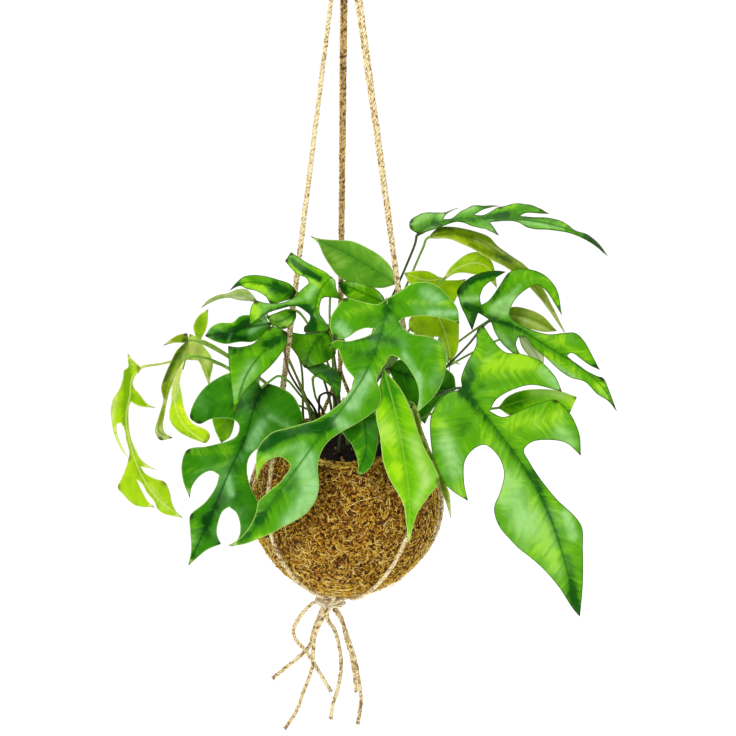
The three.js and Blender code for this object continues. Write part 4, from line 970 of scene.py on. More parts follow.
NECK = TOP_KNOT_Z + TOP_KNOT_SIZE[2] + GAP
LOOP = [(-3.4, 0, NECK), (-4.6, 0, NECK + 6), (-10.4, 0, -35), (-12.5, 0, -11), (-8.2, 0, -0.4), (0, 0, 3),
        (8.2, 0, -0.4), (12.5, 0, -11), (10.4, 0, -35), (4.6, 0, NECK + 6), (3.4, 0, NECK)]


def on_ball(heading, latitude, r):
    return polar(r * cos(radians(latitude)), radians(heading), BALL_Z + r * sin(radians(latitude)))


def outside_knot(toward, clear):
    """The point a little outside the bottom knot in a direction from its middle."""
    d = unit(np.array(toward, float))
    return BOTTOM_KNOT + d * (1 / np.linalg.norm(d / BOTTOM_KNOT_SIZE) + clear)


def strand_points(leg, which):
    spread, r = PAIR_SPREAD * (-1 if which else 1), BALL_RADIUS + STRAND / 2 + 1.5 * GAP
    out = polar(1, radians(leg["heading"]), 0)
    side = np.array([-out[1], out[0], 0])
    goal = np.array(leg["goal"])
    start = out * LEG_FOOT + (LEG_AXIS, 0, TOP_KNOT_Z)
    down = goal - start
    share = (start[2] - SPLIT_Z) / (start[2] - goal[2])
    points = []
    for f in np.linspace(0, 1, SPLIT_STEPS):
        a = radians(leg["turn"][0] + (leg["turn"][1] - leg["turn"][0]) * f)
        points.append(start + down * share * f + side * spread * cos(a) + out * spread * sin(a))
    # The strand starts just under the knot, so the points above that are left out
    level = points[0][:2] * (1 - STRAND / 2 / np.linalg.norm(points[0][:2])) / TOP_KNOT_SIZE[:2]
    under = TOP_KNOT_Z - GAP - TOP_KNOT_SIZE[2] * sqrt(1 - float(level @ level))
    points = [np.array([*points[0][:2], under])] + [p for p in points[1:] if p[2] <= under - 3]
    for f in np.linspace(0, 1, BALL_STEPS):
        heading = leg["touch"][which] + (leg["end"][which] - leg["touch"][which]) * f
        points.append(on_ball(heading, leg["latitude"] + (LEAVE_LATITUDE - leg["latitude"]) * f, r))
    away = points[-1] - BOTTOM_KNOT
    toward = unit(np.array([away[0], away[1], 0])) * cos(KNOT_ENTRY) + (0, 0, sin(KNOT_ENTRY))
    return points + [outside_knot(toward, KNOT_CLEAR), outside_knot(toward, END_GAP)]


def twist(shape, path, offset, radius, seed, pitch=PLY_PITCH, sides=PLY_SIDES, closed=False):
    """The plies of a cord, wound round its path. Their third mark is -1 outside and 0 deep between them."""
    draw = np.random.default_rng(seed)
    _, normal, side = carried(path)
    along = distances(path)
    turns = 2 * pi * along / pitch
    if closed:
        gap = unit(normal[-1])
        slip = atan2(float(gap @ side[0]), float(gap @ normal[0]))
        turns = along / along[-1] * (2 * pi * round(along[-1] / pitch / PLIES) - slip)
    lines, normals, radii, notes = [], [], [], []
    for k in range(PLIES):
        ray = fan(normal, side, turns + 2 * pi * k / PLIES)
        thick = 1 + 0.13 * waves(path, 9, seed + k) + 0.1 * waves(path, 3, seed + 9 + k)
        lines.append(path + ray * (offset * (1 + 0.1 * waves(path, 14, seed + 5 + k)))[:, None])
        normals.append(ray)
        radii.append(radius * thick)
        notes.append(np.tile((draw.uniform(), 0, 0), (len(path), 1)))
    points, faces, marks = sweep(np.array(lines), np.array(normals), np.array(radii), sides, np.array(notes))
    away = np.linalg.norm(points.reshape(PLIES, len(path), sides, 3) - path[None, :, None], axis=-1)
    marks[:, 2] = -np.clip((away / (offset + radius) - 0.56) / 0.36, 0, 1).ravel()
    shape.add(points, faces, marks)


def fuzz(shape, path, around, per_mm, reach, seed):
    """Short loose fibres on a cord."""
    draw = np.random.default_rng(seed)
    tangent, normal, side = carried(path)
    count = int(length_of(path) * per_mm)
    at = draw.integers(9, len(path) - 9, count)
    ray = fan(normal[at], side[at], draw.uniform(0, 2 * pi, count))
    way = tangent[at] * np.where(draw.uniform(size=count) < 0.7, 1, -1)[:, None]
    cross = np.cross(way, ray)
    size = np.clip(draw.gamma(2.2, 1.0, count), 0.6, 5.5)
    lift_out = reach * np.clip(size / 4, 0.15, 1) * draw.uniform(0.3, 1, count)
    bend = np.clip(draw.normal(0, 0.35, count) * size, -1.1, 1.1)
    f = np.linspace(0, 1, 4)[None, :, None]
    start = path[at] + ray * around * 0.86
    lines = (start[:, None] + way[:, None] * (size[:, None, None] * f)
             + ray[:, None] * (lift_out[:, None, None] * f ** 1.6)
             + cross[:, None] * (bend[:, None, None] * f ** 2))
    radii = FUZZ_THICKNESS * draw.uniform(0.6, 1.3, count)[:, None] * (1, 0.9, 0.75, 0.35)
    notes = noted(4, draw.uniform(0.2, 1, count), 1)
    shape.add(*sweep(lines, np.repeat(ray[:, None], 4, 1), radii, 3, notes))


def frayed_end(shape, path, around, seed):
    """The fibres that spread out of a cord's cut end."""
    draw = np.random.default_rng(seed)
    end, way = path[-1], unit(path[-1] - path[-4])
    across = unit(np.cross(way, (0.3, 1, 0.2)))
    other = np.cross(way, across)
    count = FRAY_FIBRES
    a, r = draw.uniform(0, 2 * pi, count), around * 0.8 * np.sqrt(draw.uniform(0, 1, count))
    ray = fan(across, other, a)
    size = draw.uniform(0.7, 2.6, count)
    f = np.linspace(-0.4, 1, 4)[None, :, None]
    spread = (r * 0.5 + draw.uniform(0, 0.8, count))[:, None, None] * np.clip(f, 0, 1) ** 1.5
    lines = (end + ray * r[:, None])[:, None] + way * (size[:, None, None] * f) + ray[:, None] * spread
    radii = 0.15 * draw.uniform(0.6, 1.2, count)[:, None] * (1, 1, 0.85, 0.5)
    notes = noted(4, draw.uniform(0.1, 1, count))
    shape.add(*sweep(lines, np.repeat(ray[:, None], 4, 1), radii, 4, notes))


def cord_pieces(materials):
    for number, leg in enumerate(LEGS):
        for which, letter in enumerate("ab"):
            points = strand_points(leg, which)
            path = evenly(spline(points, 16 * len(points)), CORD_STEP)
            shape = Shape()
            seed = 300 + 20 * number + 7 * which
            twist(shape, path, *STRAND_PLIES, seed)
            fuzz(shape, path, STRAND / 2, per_mm=1.35, reach=1.7, seed=seed + 3)
            # The leg behind the plant takes the darker copy of the jute: painted shade
            look = materials["jute_painted_shade" if leg["name"] == "back" else "jute"]
            made = shape.piece("strand_%s_%s" % (leg["name"], letter), [look],
                               ["cord_%s_%s" % (leg["name"], letter)])
    for number, row in enumerate(TAILS):
        points = np.array([lift(*p) for p in row])
        points[0] = outside_knot(points[0] - BOTTOM_KNOT, END_GAP)
        path = evenly(spline(points, 16 * len(points)), CORD_STEP)
        shape = Shape()
        seed = 500 + 20 * number
        twist(shape, path, *TAIL_PLIES, seed)
        fuzz(shape, path, STRAND / 2, per_mm=2.0, reach=1.5, seed=seed + 3)
        frayed_end(shape, path, STRAND / 2, seed + 5)
        made = shape.piece("loose_end_%d" % (number + 1), [materials["jute"]],
                           ["tail_%d" % (number + 1)])
    path = evenly(spline(LOOP, 16 * len(LOOP)), LOOP_STEP)
    shape = Shape()
    twist(shape, path, *LOOP_PLIES, 700, LOOP_PITCH, LOOP_PLY_SIDES)
    fuzz(shape, path, LOOP_THICKNESS / 2, per_mm=4.5, reach=1.7, seed=703)
    made = shape.piece("twine_loop", [materials["jute"]], ["hanging_loop"])


def knot_piece(name, node, centre, size, ring, swing, thick, tip, look, seed):
    """A knot: a cord that winds through itself three times on a lump of its own turns."""
    shape = Shape()
    a = np.linspace(0, 2 * pi, 241)
    line = polar(ring + swing * np.cos(3 * a), 2 * a, swing * np.sin(3 * a))
    reach = np.array([ring + swing, ring + swing, swing])
    line = line / reach * (np.array(size) - thick * 0.75)
    line = turned(turned(line, np.array([1.0, 0, 0]), tip[0]), np.array([0, 1.0, 0]), tip[1]) + centre
    path = evenly(line, KNOT_STEP)
    tangent, _, _ = carried(path)
    for k in (-1, 1):
        moved = path + np.cross(tangent, unit(path - centre)) * (k * thick * 0.42)
        twist(shape, moved, thick * 0.23, thick * 0.27, seed + k)
    fuzz(shape, path, thick * 0.6, per_mm=2.2, reach=1.4, seed=seed + 4)
    # The strands that bind the lump go round its widest part
    a = np.linspace(0, 2 * pi, 97)
    for k in (-1, 1):
        band = np.stack([np.cos(a) * (size[0] - 1.5), np.sin(a) * (size[1] - 1.5),
                         (k * 1.3 + 0.9 * np.sin(a + k)) * np.ones(97)], -1)
        twist(shape, evenly(band, KNOT_STEP) + centre, *BAND_PLIES, seed + 6 + k, closed=True)
    # The core between the turns; its marks of 0.3 give it the jute's painted groove shade
    b = np.linspace(-pi / 2, pi / 2, 13)[1:-1]
    half = np.array(size) * 0.72
    lathe(shape, np.stack([np.cos(b), np.sin(b)], -1), 24,
          lambda p: p * half * (1 + 0.06 * waves(p * half, 5, seed + 8))[:, None] + centre,
          0.3, [centre - (0, 0, half[2]), centre + (0, 0, half[2])])
    return shape.piece(name, [look], [node])


# Pot and soil


def arc(radius, angles):
    """The part of a ball's outline between two angles."""
    return np.stack([radius * np.cos(angles), BALL_Z + radius * np.sin(angles)], -1)


def pot_profile():
    """The outer wall from the bottom up, over the lip and down the inside."""
    inner, top = BALL_RADIUS - WALL + 0.6, RIM_HEIGHT
    outer = BALL_RADIUS - SHELL_DEPTH
    out = arc(outer, np.linspace(radians(-89.2), asin((top - 0.6) / outer), 100))
    ins = arc(inner, np.linspace(asin((top - 0.8) / inner), radians(-89), 24))
    c = np.linspace(0, 1, 6)[1:-1, None]
    lip = out[-1] * (1 - c) + ins[0] * c + np.array([0, 0.9]) * np.sin(pi * c)
    return np.concatenate([out, lip, ins])


def rough_coir(points):
    centre = np.array([0, 0, BALL_Z])
    out = unit(points - centre)
    shell = 0.34 * waves(points, 16, 41, 12) + 0.3 * waves(points, 6, 42, 14)
    shell += 0.26 * waves(points, 3.2, 43, 16)
    return points + out * np.clip(shell, -1.3, 0.55)[:, None]


def coir_tubes(draw, lines, normals, thick, high=None):
    """Fibres along many lines, thin at their ends, each with its own tone and height in the mat."""
    count, steps = lines.shape[:2]
    f = np.linspace(-0.5, 0.5, steps)
    radii = draw.uniform(*thick, count)[:, None] * (0.45 + 0.55 * np.cos(pi * f * 0.9))
    notes = noted(steps, draw.uniform(0, 1, count), draw.uniform(0, 1, count) if high is None else high)
    return sweep(lines, normals, radii, 3, notes)


def ball_fibres(count, seed, size, thick, reach, steps):
    """Coir fibres that lie on the ball, each a bent line on its surface."""
    draw = np.random.default_rng(seed)
    z = draw.uniform(-1, RIM_HEIGHT / BALL_RADIUS - 0.006, count)
    a = draw.uniform(0, 2 * pi, count)
    out = polar(np.sqrt(1 - z * z), a, z)
    level = unit(np.cross((0, 0, 1.0), out))
    up = np.cross(out, level)
    way = fan(level, up, draw.uniform(0, pi, count))
    length = np.clip(draw.gamma(3.0, size / 3, count), 0.3 * size, 3.4 * size)
    bend = draw.normal(0, 0.07, count)
    high = draw.uniform(-0.5, 1, count) * reach
    arch = draw.uniform(0, 1, count) ** 3 * reach * 1.2
    f = np.linspace(-0.5, 0.5, steps)
    s = length[:, None] * f[None]
    side = np.cross(out, way)
    flat_x, flat_y = s * (1 - (bend[:, None] * s) ** 2 / 6), bend[:, None] * s ** 2 / 2
    wiggle = draw.normal(0, FIBRE_WIGGLE, (count, steps))
    radius = BALL_RADIUS - MAT_DEPTH + high[:, None] + arch[:, None] * np.cos(pi * f)[None]
    lines = way[:, None] * flat_x[..., None] + side[:, None] * (flat_y + wiggle)[..., None]
    lines = unit(out[:, None] * BALL_RADIUS + lines) * radius[..., None]
    top = RIM_HEIGHT + 0.4 + draw.uniform(0, 0.9, count)[:, None]
    over = lines[..., 2] > top
    lines[..., 2] = np.where(over, top + (lines[..., 2] - top) * 0.15, lines[..., 2])
    lines[..., 2] += BALL_Z
    return coir_tubes(draw, lines, unit(lines - (0, 0, BALL_Z)), thick, np.clip(0.5 + high / reach / 2, 0, 1))


def rim_fibres(count, seed):
    """Fibres bound along the lip, some with ends that stand out of it."""
    draw = np.random.default_rng(seed)
    a = draw.uniform(0, 2 * pi, count)
    inner = sqrt((BALL_RADIUS - WALL) ** 2 - RIM_HEIGHT ** 2)
    outer = sqrt(BALL_RADIUS ** 2 - RIM_HEIGHT ** 2)
    r = draw.uniform(inner + 0.5, outer - 0.2, count)
    length = draw.uniform(3, 15, count)
    f = np.linspace(-0.5, 0.5, 6)
    turn = a[:, None] + length[:, None] * f[None] / r[:, None]
    slant = draw.normal(0, 1.3, count)[:, None] * f[None] * 2
    rr = r[:, None] + slant
    out = draw.uniform(0, 1, count) ** 4 * 2.2
    z = BALL_Z + RIM_HEIGHT + draw.uniform(-0.9, 0.7, count)[:, None]
    z = z + out[:, None] * np.clip(f[None] + 0.1, 0, 1) ** 1.3 * 1.6
    lines = polar(rr, turn, z + draw.normal(0, 0.12, (count, 6)))
    return coir_tubes(draw, lines, np.broadcast_to((0, 0, 1.0), lines.shape), (0.14, 0.36))


def pot_pieces(materials):
    shell = Shape()
    lathe(shell, pot_profile(), SHELL_COLUMNS, rough_coir)
    shell.piece("coir_shell", [materials["coir_base"]], ["coir_pot"])
    for k in range(MAT_PIECES):
        mat = Shape()
        mat.add(*ball_fibres(MAT_FIBRES, 61 + k, size=4.8, thick=(0.17, 0.45), reach=1.25, steps=5))
        mat.piece("coir_fibres_%d" % (k + 1), [materials["coir_fibre"]])
    long = Shape()
    long.add(*ball_fibres(LONG_FIBRES, 71, size=17, thick=(0.16, 0.34), reach=1.9, steps=6))
    long.add(*rim_fibres(RIM_FIBRES, 72))
    long.piece("coir_long_fibres", [materials["coir_fibre"]])


def soil_top(x, y):
    """The dome of the soil, which dips to the wall near its edge."""
    r = np.hypot(x, y)
    edge = sqrt((BALL_RADIUS - WALL - SOIL_CLEAR) ** 2 - (RIM_HEIGHT - SOIL_EDGE_DROP) ** 2)
    dip = float(soil_height(edge, 0)) - SOIL_EDGE_Z
    return soil_height(x, y) - dip * np.clip((r - SOIL_RUN_OFF) / (edge - SOIL_RUN_OFF), 0, 1) ** 1.6


def crumbs(shape, count, seed):
    """Small lumps of soil and bark scattered over the dome."""
    draw = np.random.default_rng(seed)
    t = (1 + sqrt(5)) / 2
    ball = unit(np.array([(-1, t, 0), (1, t, 0), (-1, -t, 0), (1, -t, 0), (0, -1, t), (0, 1, t), (0, -1, -t),
                          (0, 1, -t), (t, 0, -1), (t, 0, 1), (-t, 0, -1), (-t, 0, 1)], float))
    faces = np.array([(0, 11, 5), (0, 5, 1), (0, 1, 7), (0, 7, 10), (0, 10, 11), (1, 5, 9), (5, 11, 4),
                      (11, 10, 2), (10, 7, 6), (7, 1, 8), (3, 9, 4), (3, 4, 2), (3, 2, 6), (3, 6, 8),
                      (3, 8, 9), (4, 9, 5), (2, 4, 11), (6, 2, 10), (8, 6, 7), (9, 8, 1)])
    r = (BALL_RADIUS - WALL - CRUMB_CLEAR) * np.sqrt(draw.uniform(0, 1, count))
    a = draw.uniform(0, 2 * pi, count)
    x, y = r * np.cos(a), r * np.sin(a)
    size = np.clip(draw.gamma(2.0, 0.55, count), 0.4, 3.2)
    turn = np.linalg.qr(draw.normal(size=(count, 3, 3)))[0]
    shapes = ball[None] * draw.uniform(0.6, 1.2, (count, 12, 1)) * np.stack(
        [np.ones(count), draw.uniform(0.5, 1, count), draw.uniform(0.35, 0.8, count)], -1)[:, None]
    points = np.einsum("nij,nkj->nki", turn, shapes) * size[:, None, None]
    points += np.stack([x, y, soil_top(x, y) + 0.25 * size], -1)[:, None]
    all_faces = (faces[None] + 12 * np.arange(count)[:, None, None]).reshape(-1, 3)
    shape.add(points.reshape(-1, 3), all_faces, noted(12, draw.uniform(0, 1, count)).reshape(-1, 3))


def soil_piece(materials):
    shape = Shape()
    r = BALL_RADIUS - WALL - SOIL_CLEAR
    side = arc(r, np.linspace(-pi / 2 + 0.02, asin((RIM_HEIGHT - SOIL_EDGE_DROP) / r), 26))
    f = np.linspace(1, 0.02, 46)[1:, None]
    reach = side[-1, 0] * f
    top = np.concatenate([reach, soil_top(reach, 0)], 1)

    def rough(points):
        on_top = points[:, 2] > SOIL_EDGE_Z - 1
        lift_up = 0.8 * waves(points, 11, 51) + 0.5 * waves(points, 4.5, 52) + 0.3 * waves(points, 2.2, 53)
        return points + np.where(on_top, lift_up - 0.2, 0)[:, None] * (0, 0, 1.0)

    lathe(shape, np.concatenate([side, top]), SOIL_COLUMNS, rough)
    crumbs(shape, SOIL_CRUMBS, 54)
    shape.piece("soil_mix", [materials["soil"]], ["soil"])
    bark = Shape()
    crumbs(bark, BARK_BITS, 55)
    bark.piece("bark_bits", [materials["bark"]])
    arch = Shape()
    crown = [lift(*p) for p in ((319, 404, -12), (320, 396, -12.4), (325, 393, -12.7), (331, 393.5, -13.3),
                                (335, 399, -13.8))]
    path = evenly(spline([on_soil(-18, -12), *crown, on_soil(-8, -14)], 80), ROOT_STEP)
    _, normals, _ = carried(path)
    radius = 0.88 + 0.1 * waves(path, 5, 56) + 0.05 * waves(path, 2, 57)
    arch.add(*sweep(path[None], normals[None], radius[None], 10))
    arch.piece("old_root", [materials["root"]], ["aerial_root"])


# Looks


def principled(graph, color, roughness, normal=None, **constants):
    made = graph.node("BsdfPrincipled", {"Base Color": color, "Roughness": roughness})
    for name, value in constants.items():
        made.inputs[name.replace("_", " ")].default_value = value
    if normal is not None:
        graph.tree.links.new(normal, made.inputs["Normal"])
    return made.outputs[0]


def leaf_material(name, row, gloss=0.4, painted_sheen_share=0.35, tip="#2A2408"):
    """Blade: painted shade along the midrib and veins and painted light between them, painted sheen patches, a
    rim and a paler back.
    """
    dark, mid, bright, painted_sheen, under, rim, rib_color = row.split()
    g = Graph(name)
    edge, vein, stripe = g.marks()
    # tone carries the strokes' lightness, partly painted shade and light; the first mark of paint carries their
    # painted sheen
    rib, tone, back = g.marks("more")
    painted_sheen_strokes, tips, _ = g.marks("paint")
    where = g.position()
    broad = g.noise(where, 24, 2.0, 0.5)
    fine = g.noise(where, 110, 4.0, 0.6)
    grain = g.noise(where, 900, 2.0, 0.6)
    # Noise that places the painted sheen patches
    painted_sheen_patches = g.noise(g.position((7.3, 3.1, 5.7)), 34, 2.5, 0.55)
    # Painted light on the bulges between the side veins, and streaks of painted sheen and shade along them
    painted_bulge_light = g.less(0.5, g.times(g.math("COSINE", g.times(stripe, 2 * pi)), 0.5))
    painted_fold_streaks = []
    for across, outward in ((0.62, 0.045), (3.1, 0.12)):
        lane = g.node("CombineXYZ", {"X": g.times(stripe, across), "Y": g.times(rib, outward),
                                     "Z": g.times(broad, 1.5)}).outputs[0]
        painted_fold_streaks.append(g.noise(lane, 1.0, 2.0, 0.5))
    # Lightness: painted shade within 8 mm of the midrib and 5 mm of the lobe veins, the painted bulges and
    # streaks, noise for the blade's own tone, and the strokes
    value = g.total(g.ramp(rib, 0.0, 8.0), 0.24, g.ramp(vein, 0.0, 5.0), 0.16)
    value = g.swing(value, (broad, 0.7), (fine, 0.3), (painted_bulge_light, 0.12), (painted_fold_streaks[0], 1.1), (painted_fold_streaks[1], 0.9))
    value = g.plus(value, tone)
    color = g.colors(value, dark, (-0.5, 0.45, mid), (0.4, 1.15, bright))
    color = g.mix(g.times(back, 0.75), color, g.colors(value, dark, (-0.4, 0.5, under), (0.2, 0.6, under)))
    # Painted sheen: the satin colour where the noise patches and the strokes put it, weaker on the midrib, on
    # the side veins and on the back
    painted_sheen_mask = g.times(g.times(g.ramp(painted_sheen_patches, 0.5, 0.75), painted_sheen_share), g.less(1.0, back))
    painted_sheen_mask = g.plus(painted_sheen_mask, g.ramp(painted_sheen_strokes, 0.0, 1.0))
    for part, low, high, least in ((rib, 0.3, 2.0, 0.5), (fine, 0.3, 0.65, 0.6), (painted_bulge_light, 0.0, 0.4, 0.85)):
        painted_sheen_mask = g.times(painted_sheen_mask, g.ramp(part, low, high, least, 1.0))
    color = g.tint(color, painted_sheen, g.math("MINIMUM", painted_sheen_mask, 1.0), 0.9)
    color = g.tint(color, rib_color, g.less(1.0, g.ramp(rib, 0.25, 0.9)), 0.6)
    color = g.tint(color, rim, g.less(1.0, g.ramp(edge, 0.35, 0.9)), 0.7)
    color = g.tint(color, tip, g.ramp(tips, 0.25, 0.8, 0.0, 0.85))
    rough = g.plus(g.ramp(fine, 0.2, 0.8, gloss - 0.06, gloss + 0.1), g.times(back, 0.2))
    normal = g.bump(g.total(fine, 0.7, grain, 0.3), 0.35, 0.0007)
    shader = principled(g, color, rough, normal, Specular_IOR_Level=0.1)
    light = g.node("BsdfTranslucent", {"Color": g.tint(color, bright, TRANSLUCENT_TINT), "Normal": normal})
    return g.finish(g.node("MixShader", {0: LEAF_TRANSLUCENCY, 1: shader, 2: light.outputs[0]}).outputs[0])


def stalk_material(name, row):
    """Petiole: the colour changes from soil to blade, with fine lengthways streaks."""
    low, high, streak = row.split()
    g = Graph(name)
    _, along, _ = g.marks()
    drawn_out = g.node("Mapping", {"Vector": g.position(), "Scale": (1.0, 1.0, 0.12)}).outputs[0]
    lines = g.noise(drawn_out, 900, 3.0, 0.6)
    spots = g.noise(g.position(), 240, 3.0, 0.6)
    color = g.colors(along, low, (0.1, 0.9, high))
    color = g.tint(color, streak, g.ramp(lines, 0.45, 0.7), 0.55)
    color = g.tint(color, low, g.ramp(spots, 0.6, 0.75), 0.35)
    return g.surface(color, spots, (0.38, 0.6), lines, (0.4, 0.0004), Specular_IOR_Level=0.45)


def jute_material(name, row):
    """Jute: fibres of slightly different colour along each ply, with painted shade in the grooves between the
    plies, matt.
    """
    light, mid, dark = row.split()
    g = Graph(name)
    ply, _, loose = g.marks()
    where = g.position()
    tone = g.noise(where, 210, 3.0, 0.65)
    thread = g.noise(where, 1600, 2.0, 0.7)
    slub = g.noise(where, 45, 2.0, 0.5)
    specks = g.noise(where, 420, 2.0, 0.6)
    value = g.swing(g.total(tone, 0.5, thread, 0.5), (ply, 0.2), (slub, 0.4), (specks, 1.7))
    color = g.colors(value, dark, (0.24, 0.42, mid), (0.4, 0.62, light))
    hairy = g.ramp(loose, 0.2, 0.8)
    # Painted shade where the third mark nears 0: deep between the plies and over a knot's core; the frayed
    # ends, marked 0, darken the same way, and the loose fibres, marked 1, are paler
    groove = g.times(g.ramp(loose, -0.8, -0.1), g.less(1.0, hairy))
    color = g.tint(g.tint(color, dark, groove, 0.9), light, hairy, 0.7)
    return g.surface(color, tone, (0.8, 0.97), g.total(thread, 0.6, tone, 0.4), (0.7, 0.0006),
                     Specular_IOR_Level=0.2, Sheen_Weight=0.25, Sheen_Roughness=0.5)


def coir_pit_shade(g, where):
    """Where the coir is hollow, from 0 to 1: the darkening there is painted shade."""
    return g.ramp(g.noise(where, 330, 3.0, 0.62), 0.5, 0.42)


def coir_base_material(name):
    """The mat under the loose fibres: brown, with painted shade in its pits and a golden grain."""
    g = Graph(name)
    where = g.position()
    grain = g.noise(where, 620, 4.0, 0.7)
    broad = g.noise(where, 55, 3.0, 0.6)
    color = g.colors(grain, "#380C04", (0.4, 0.6, "#BE821C"))
    color = g.tint(color, "#E8B44A", g.ramp(grain, 0.56, 0.7), 0.85)
    color = g.tint(color, "#4A200C", g.ramp(broad, 0.55, 0.3), 0.45)
    # Painted shade in the pits
    color = g.tint(color, "#240804", coir_pit_shade(g, where), 0.8)
    return g.surface(color, grain, (0.85, 0.98), g.total(grain, 0.8, broad, 0.6), (0.8, 0.0012),
                     Specular_IOR_Level=0.2)


def coir_fibre_material(name):
    """Loose fibres: each has its own tone from red brown to pale gold, with painted shade lower in the mat and
    in the pits.
    """
    g = Graph(name)
    tone, _, high = g.marks()
    where = g.position()
    grain = g.noise(where, 700, 2.0, 0.6)
    broad = g.noise(where, 60, 3.0, 0.6)
    flecks = g.noise(g.position((3.1, 4.7, 2.9)), 400, 2.0, 0.5)
    # The fibre's height in the mat adds lightness: lower fibres are darker, painted shade
    value = g.swing(g.total(tone, 0.5, high, 0.16), (grain, 0.5), (broad, 0.95))
    value = g.plus(value, g.ramp(flecks, 0.52, 0.66, 0.0, 0.16))
    # Painted shade in the pits
    value = g.less(value, g.times(coir_pit_shade(g, where), 0.58))
    color = g.colors(value, "#3C0C02", (-0.2, 0.0, "#BE8214"), (-0.02, 0.2, "#F6CA3C"),
                     (0.3, 0.62, "#FFEA98"))
    return g.surface(color, grain, (0.7, 0.92), grain, (0.4, 0.0004), Specular_IOR_Level=0.3)


def grained_material(name, dark, light, scale, rough):
    """Soil, bark or root: a coarse grain, with each lump's own tone."""
    g = Graph(name)
    tone, _, _ = g.marks()
    where = g.position()
    grain = g.noise(where, scale, 5.0, 0.7)
    broad = g.noise(where, scale / 7, 2.0, 0.5)
    color = g.colors(g.total(grain, 0.8, tone, 0.35), dark, (0.3, 0.85, light))
    return g.surface(color, grain, (rough - 0.08, rough + 0.06), g.plus(grain, broad), (0.7, 0.001),
                     Specular_IOR_Level=0.3)


# Colours of a blade: dark, middle and bright green, the dark also being the painted shade by the midrib and
# veins; the satin colour of the painted sheen; back, rim and midrib
BLADES = [
    ("mid", "#0A5202 #60B004 #AEEA1E #B2E88E #92B45C #2E4C0C #1A6A06", {}),
    ("deep", "#084602 #3A8E04 #80C814 #9CDA8C #7A9E54 #A8D468 #064006", {"gloss": 0.36}),
    ("pale", "#0C5A04 #58AC08 #A0DC28 #B0E89C #A0C070 #C4E870 #2C7C0C", {}),
    ("plain", "#2C7C0C #68AE24 #9AD048 #A8DA80 #92B45C #C8DC80 #3E861C",
     {"gloss": 0.45, "painted_sheen_share": 0.25}),
    ("bright", "#3A9202 #82D004 #BCF41E #D0F48C #A8CE50 #DCF888 #A4DC3C", {"tip": "#5E7C10"}),
    ("young", "#7AB004 #B2DE08 #DEF626 #ECF890 #C8DA66 #F4F8A0 #E8F480",
     {"painted_sheen_share": 0.2, "tip": "#8E9C24"}),
    ("olive", "#3A5E04 #86A60A #B2D020 #D2E090 #A8BE42 #D0D878 #6E8A1C", {}),
    ("back", "#86AC3C #B4CE74 #DAE8B0 #E8F2D4 #D6E6AC #A8B86A #9CB05C", {"gloss": 0.6}),
]
# Colours of a petiole: at the soil, at the blade and its streaks
STALKS = [("olive", "#4A5A18 #7CA42A #B0C85A"), ("dark", "#28200C #2E4C14 #4C6A20"),
          ("green", "#5A7A1C #6FB02A #A4D050"), ("pale", "#8E9A3C #B8CC5A #D8E890"),
          ("brown", "#3A1C0C #6A4A1E #8A7A3A")]
# Colours of the jute: light, middle and dark. The second row is a lighter copy for the knot under the ball:
# painted light. The third is a darker copy for the leg behind the plant: painted shade.
JUTES = [("jute", "#FFF2C4 #EED294 #94703A"), ("jute_painted_light", "#FFFAE0 #FAE6B4 #B4905C"),
         ("jute_painted_shade", "#E8C880 #B48A3E #5A3C14")]


def all_materials():
    found = {kind: leaf_material("leaf_" + kind, row, **more) for kind, row, more in BLADES}
    found.update({"stalk_" + kind: stalk_material("stalk_" + kind, row) for kind, row in STALKS})
    found.update({kind: jute_material(kind, row) for kind, row in JUTES})
    found["coir_base"] = coir_base_material("coir_base")
    found["coir_fibre"] = coir_fibre_material("coir_fibre")
    found["soil"] = grained_material("soil_dark", "#080402", "#28140A", scale=420.0, rough=0.92)
    found["bark"] = grained_material("bark", "#5A3216", "#B98A50", scale=500.0, rough=0.85)
    found["root"] = grained_material("root_bark", "#140C08", "#4A3420", scale=600.0, rough=0.8)
    return found


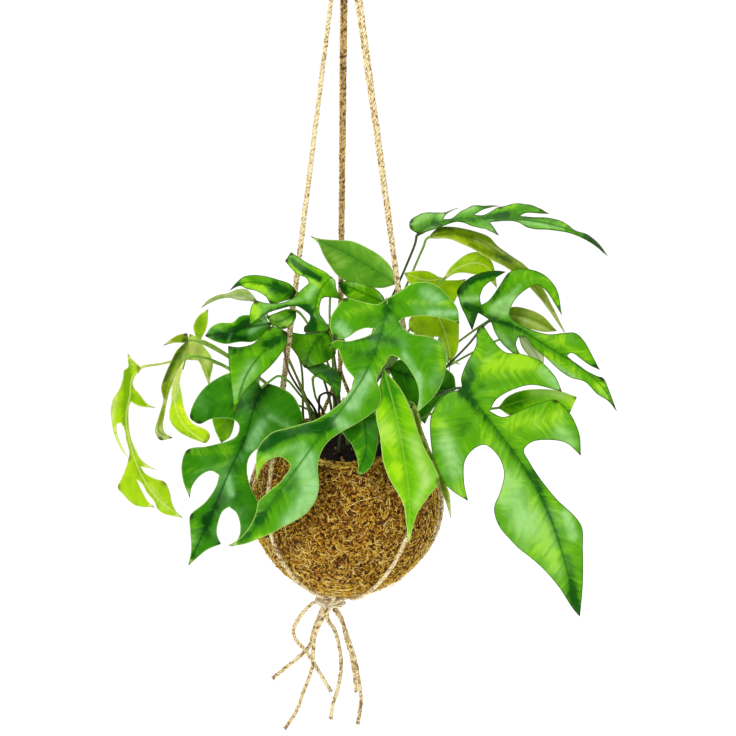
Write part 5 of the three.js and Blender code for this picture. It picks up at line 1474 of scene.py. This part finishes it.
def studio():
    """A white world, a large soft key from the upper left front, a fill and a pale floor."""
    world = bpy.data.worlds.new("studio")
    bpy.context.scene.world = world
    world.use_nodes = True
    background = world.node_tree.nodes["Background"]
    background.inputs[0].default_value = (1, 1, 1, 1)
    seen = world.node_tree.nodes.new("ShaderNodeLightPath").outputs["Is Camera Ray"]
    level = world.node_tree.nodes.new("ShaderNodeMapRange")
    level.inputs["To Min"].default_value, level.inputs["To Max"].default_value = 0.5, 1.0
    world.node_tree.links.new(seen, level.inputs["Value"])
    world.node_tree.links.new(level.outputs[0], background.inputs[1])
    plant = Vector((0, 0, -0.42))
    for name, place, size, power in (("key", (-0.8, -1.2, 0.9), 0.7, 18.5),
                                     ("fill", (1.3, -1.0, 0.2), 1.0, 3.5), ("top", (0.1, 0.5, 0.8), 0.7, 6)):
        light = bpy.data.lights.new(name, "AREA")
        light.shape, light.size, light.energy = "DISK", size, power
        made = bpy.data.objects.new(name, light)
        made.location = place
        made.rotation_euler = (plant - Vector(place)).to_track_quat("-Z", "Y").to_euler()
        bpy.context.scene.collection.objects.link(made)
    mesh = bpy.data.meshes.new("floor")
    corners = [(x * FLOOR_REACH, y * FLOOR_REACH, FLOOR_Z) for x, y in ((-1, -1), (1, -1), (1, 1), (-1, 1))]
    mesh.from_pydata(corners, [], [(0, 1, 2, 3)])
    floor_object = bpy.data.objects.new("floor", mesh)
    g = Graph("floor")
    mesh.materials.append(g.finish(principled(g, (0.96, 0.96, 0.96, 1), 0.9, Emission_Color=(1, 1, 1, 1),
                                              Emission_Strength=0.55)))
    bpy.context.scene.collection.objects.link(floor_object)
    bpy.context.scene.view_settings.view_transform = "Standard"


def main():
    materials = all_materials()
    knot_piece("twine_knot_above", "top_knot", np.array([0, 0, TOP_KNOT_Z]), TOP_KNOT_SIZE, ring=5.0,
               swing=3.2, thick=4.6, tip=(0.3, 0.2), look=materials["jute"], seed=800)
    # The knot under the ball takes the lighter copy of the jute: painted light
    knot_piece("twine_knot_below", "bottom_knot", BOTTOM_KNOT, BOTTOM_KNOT_SIZE, ring=5.4, swing=2.6,
               thick=3.6, tip=(0.25, 0.15), look=materials["jute_painted_light"], seed=820)
    cord_pieces(materials)
    pot_pieces(materials)
    soil_piece(materials)
    leaf_pieces(materials)
    studio()


main()
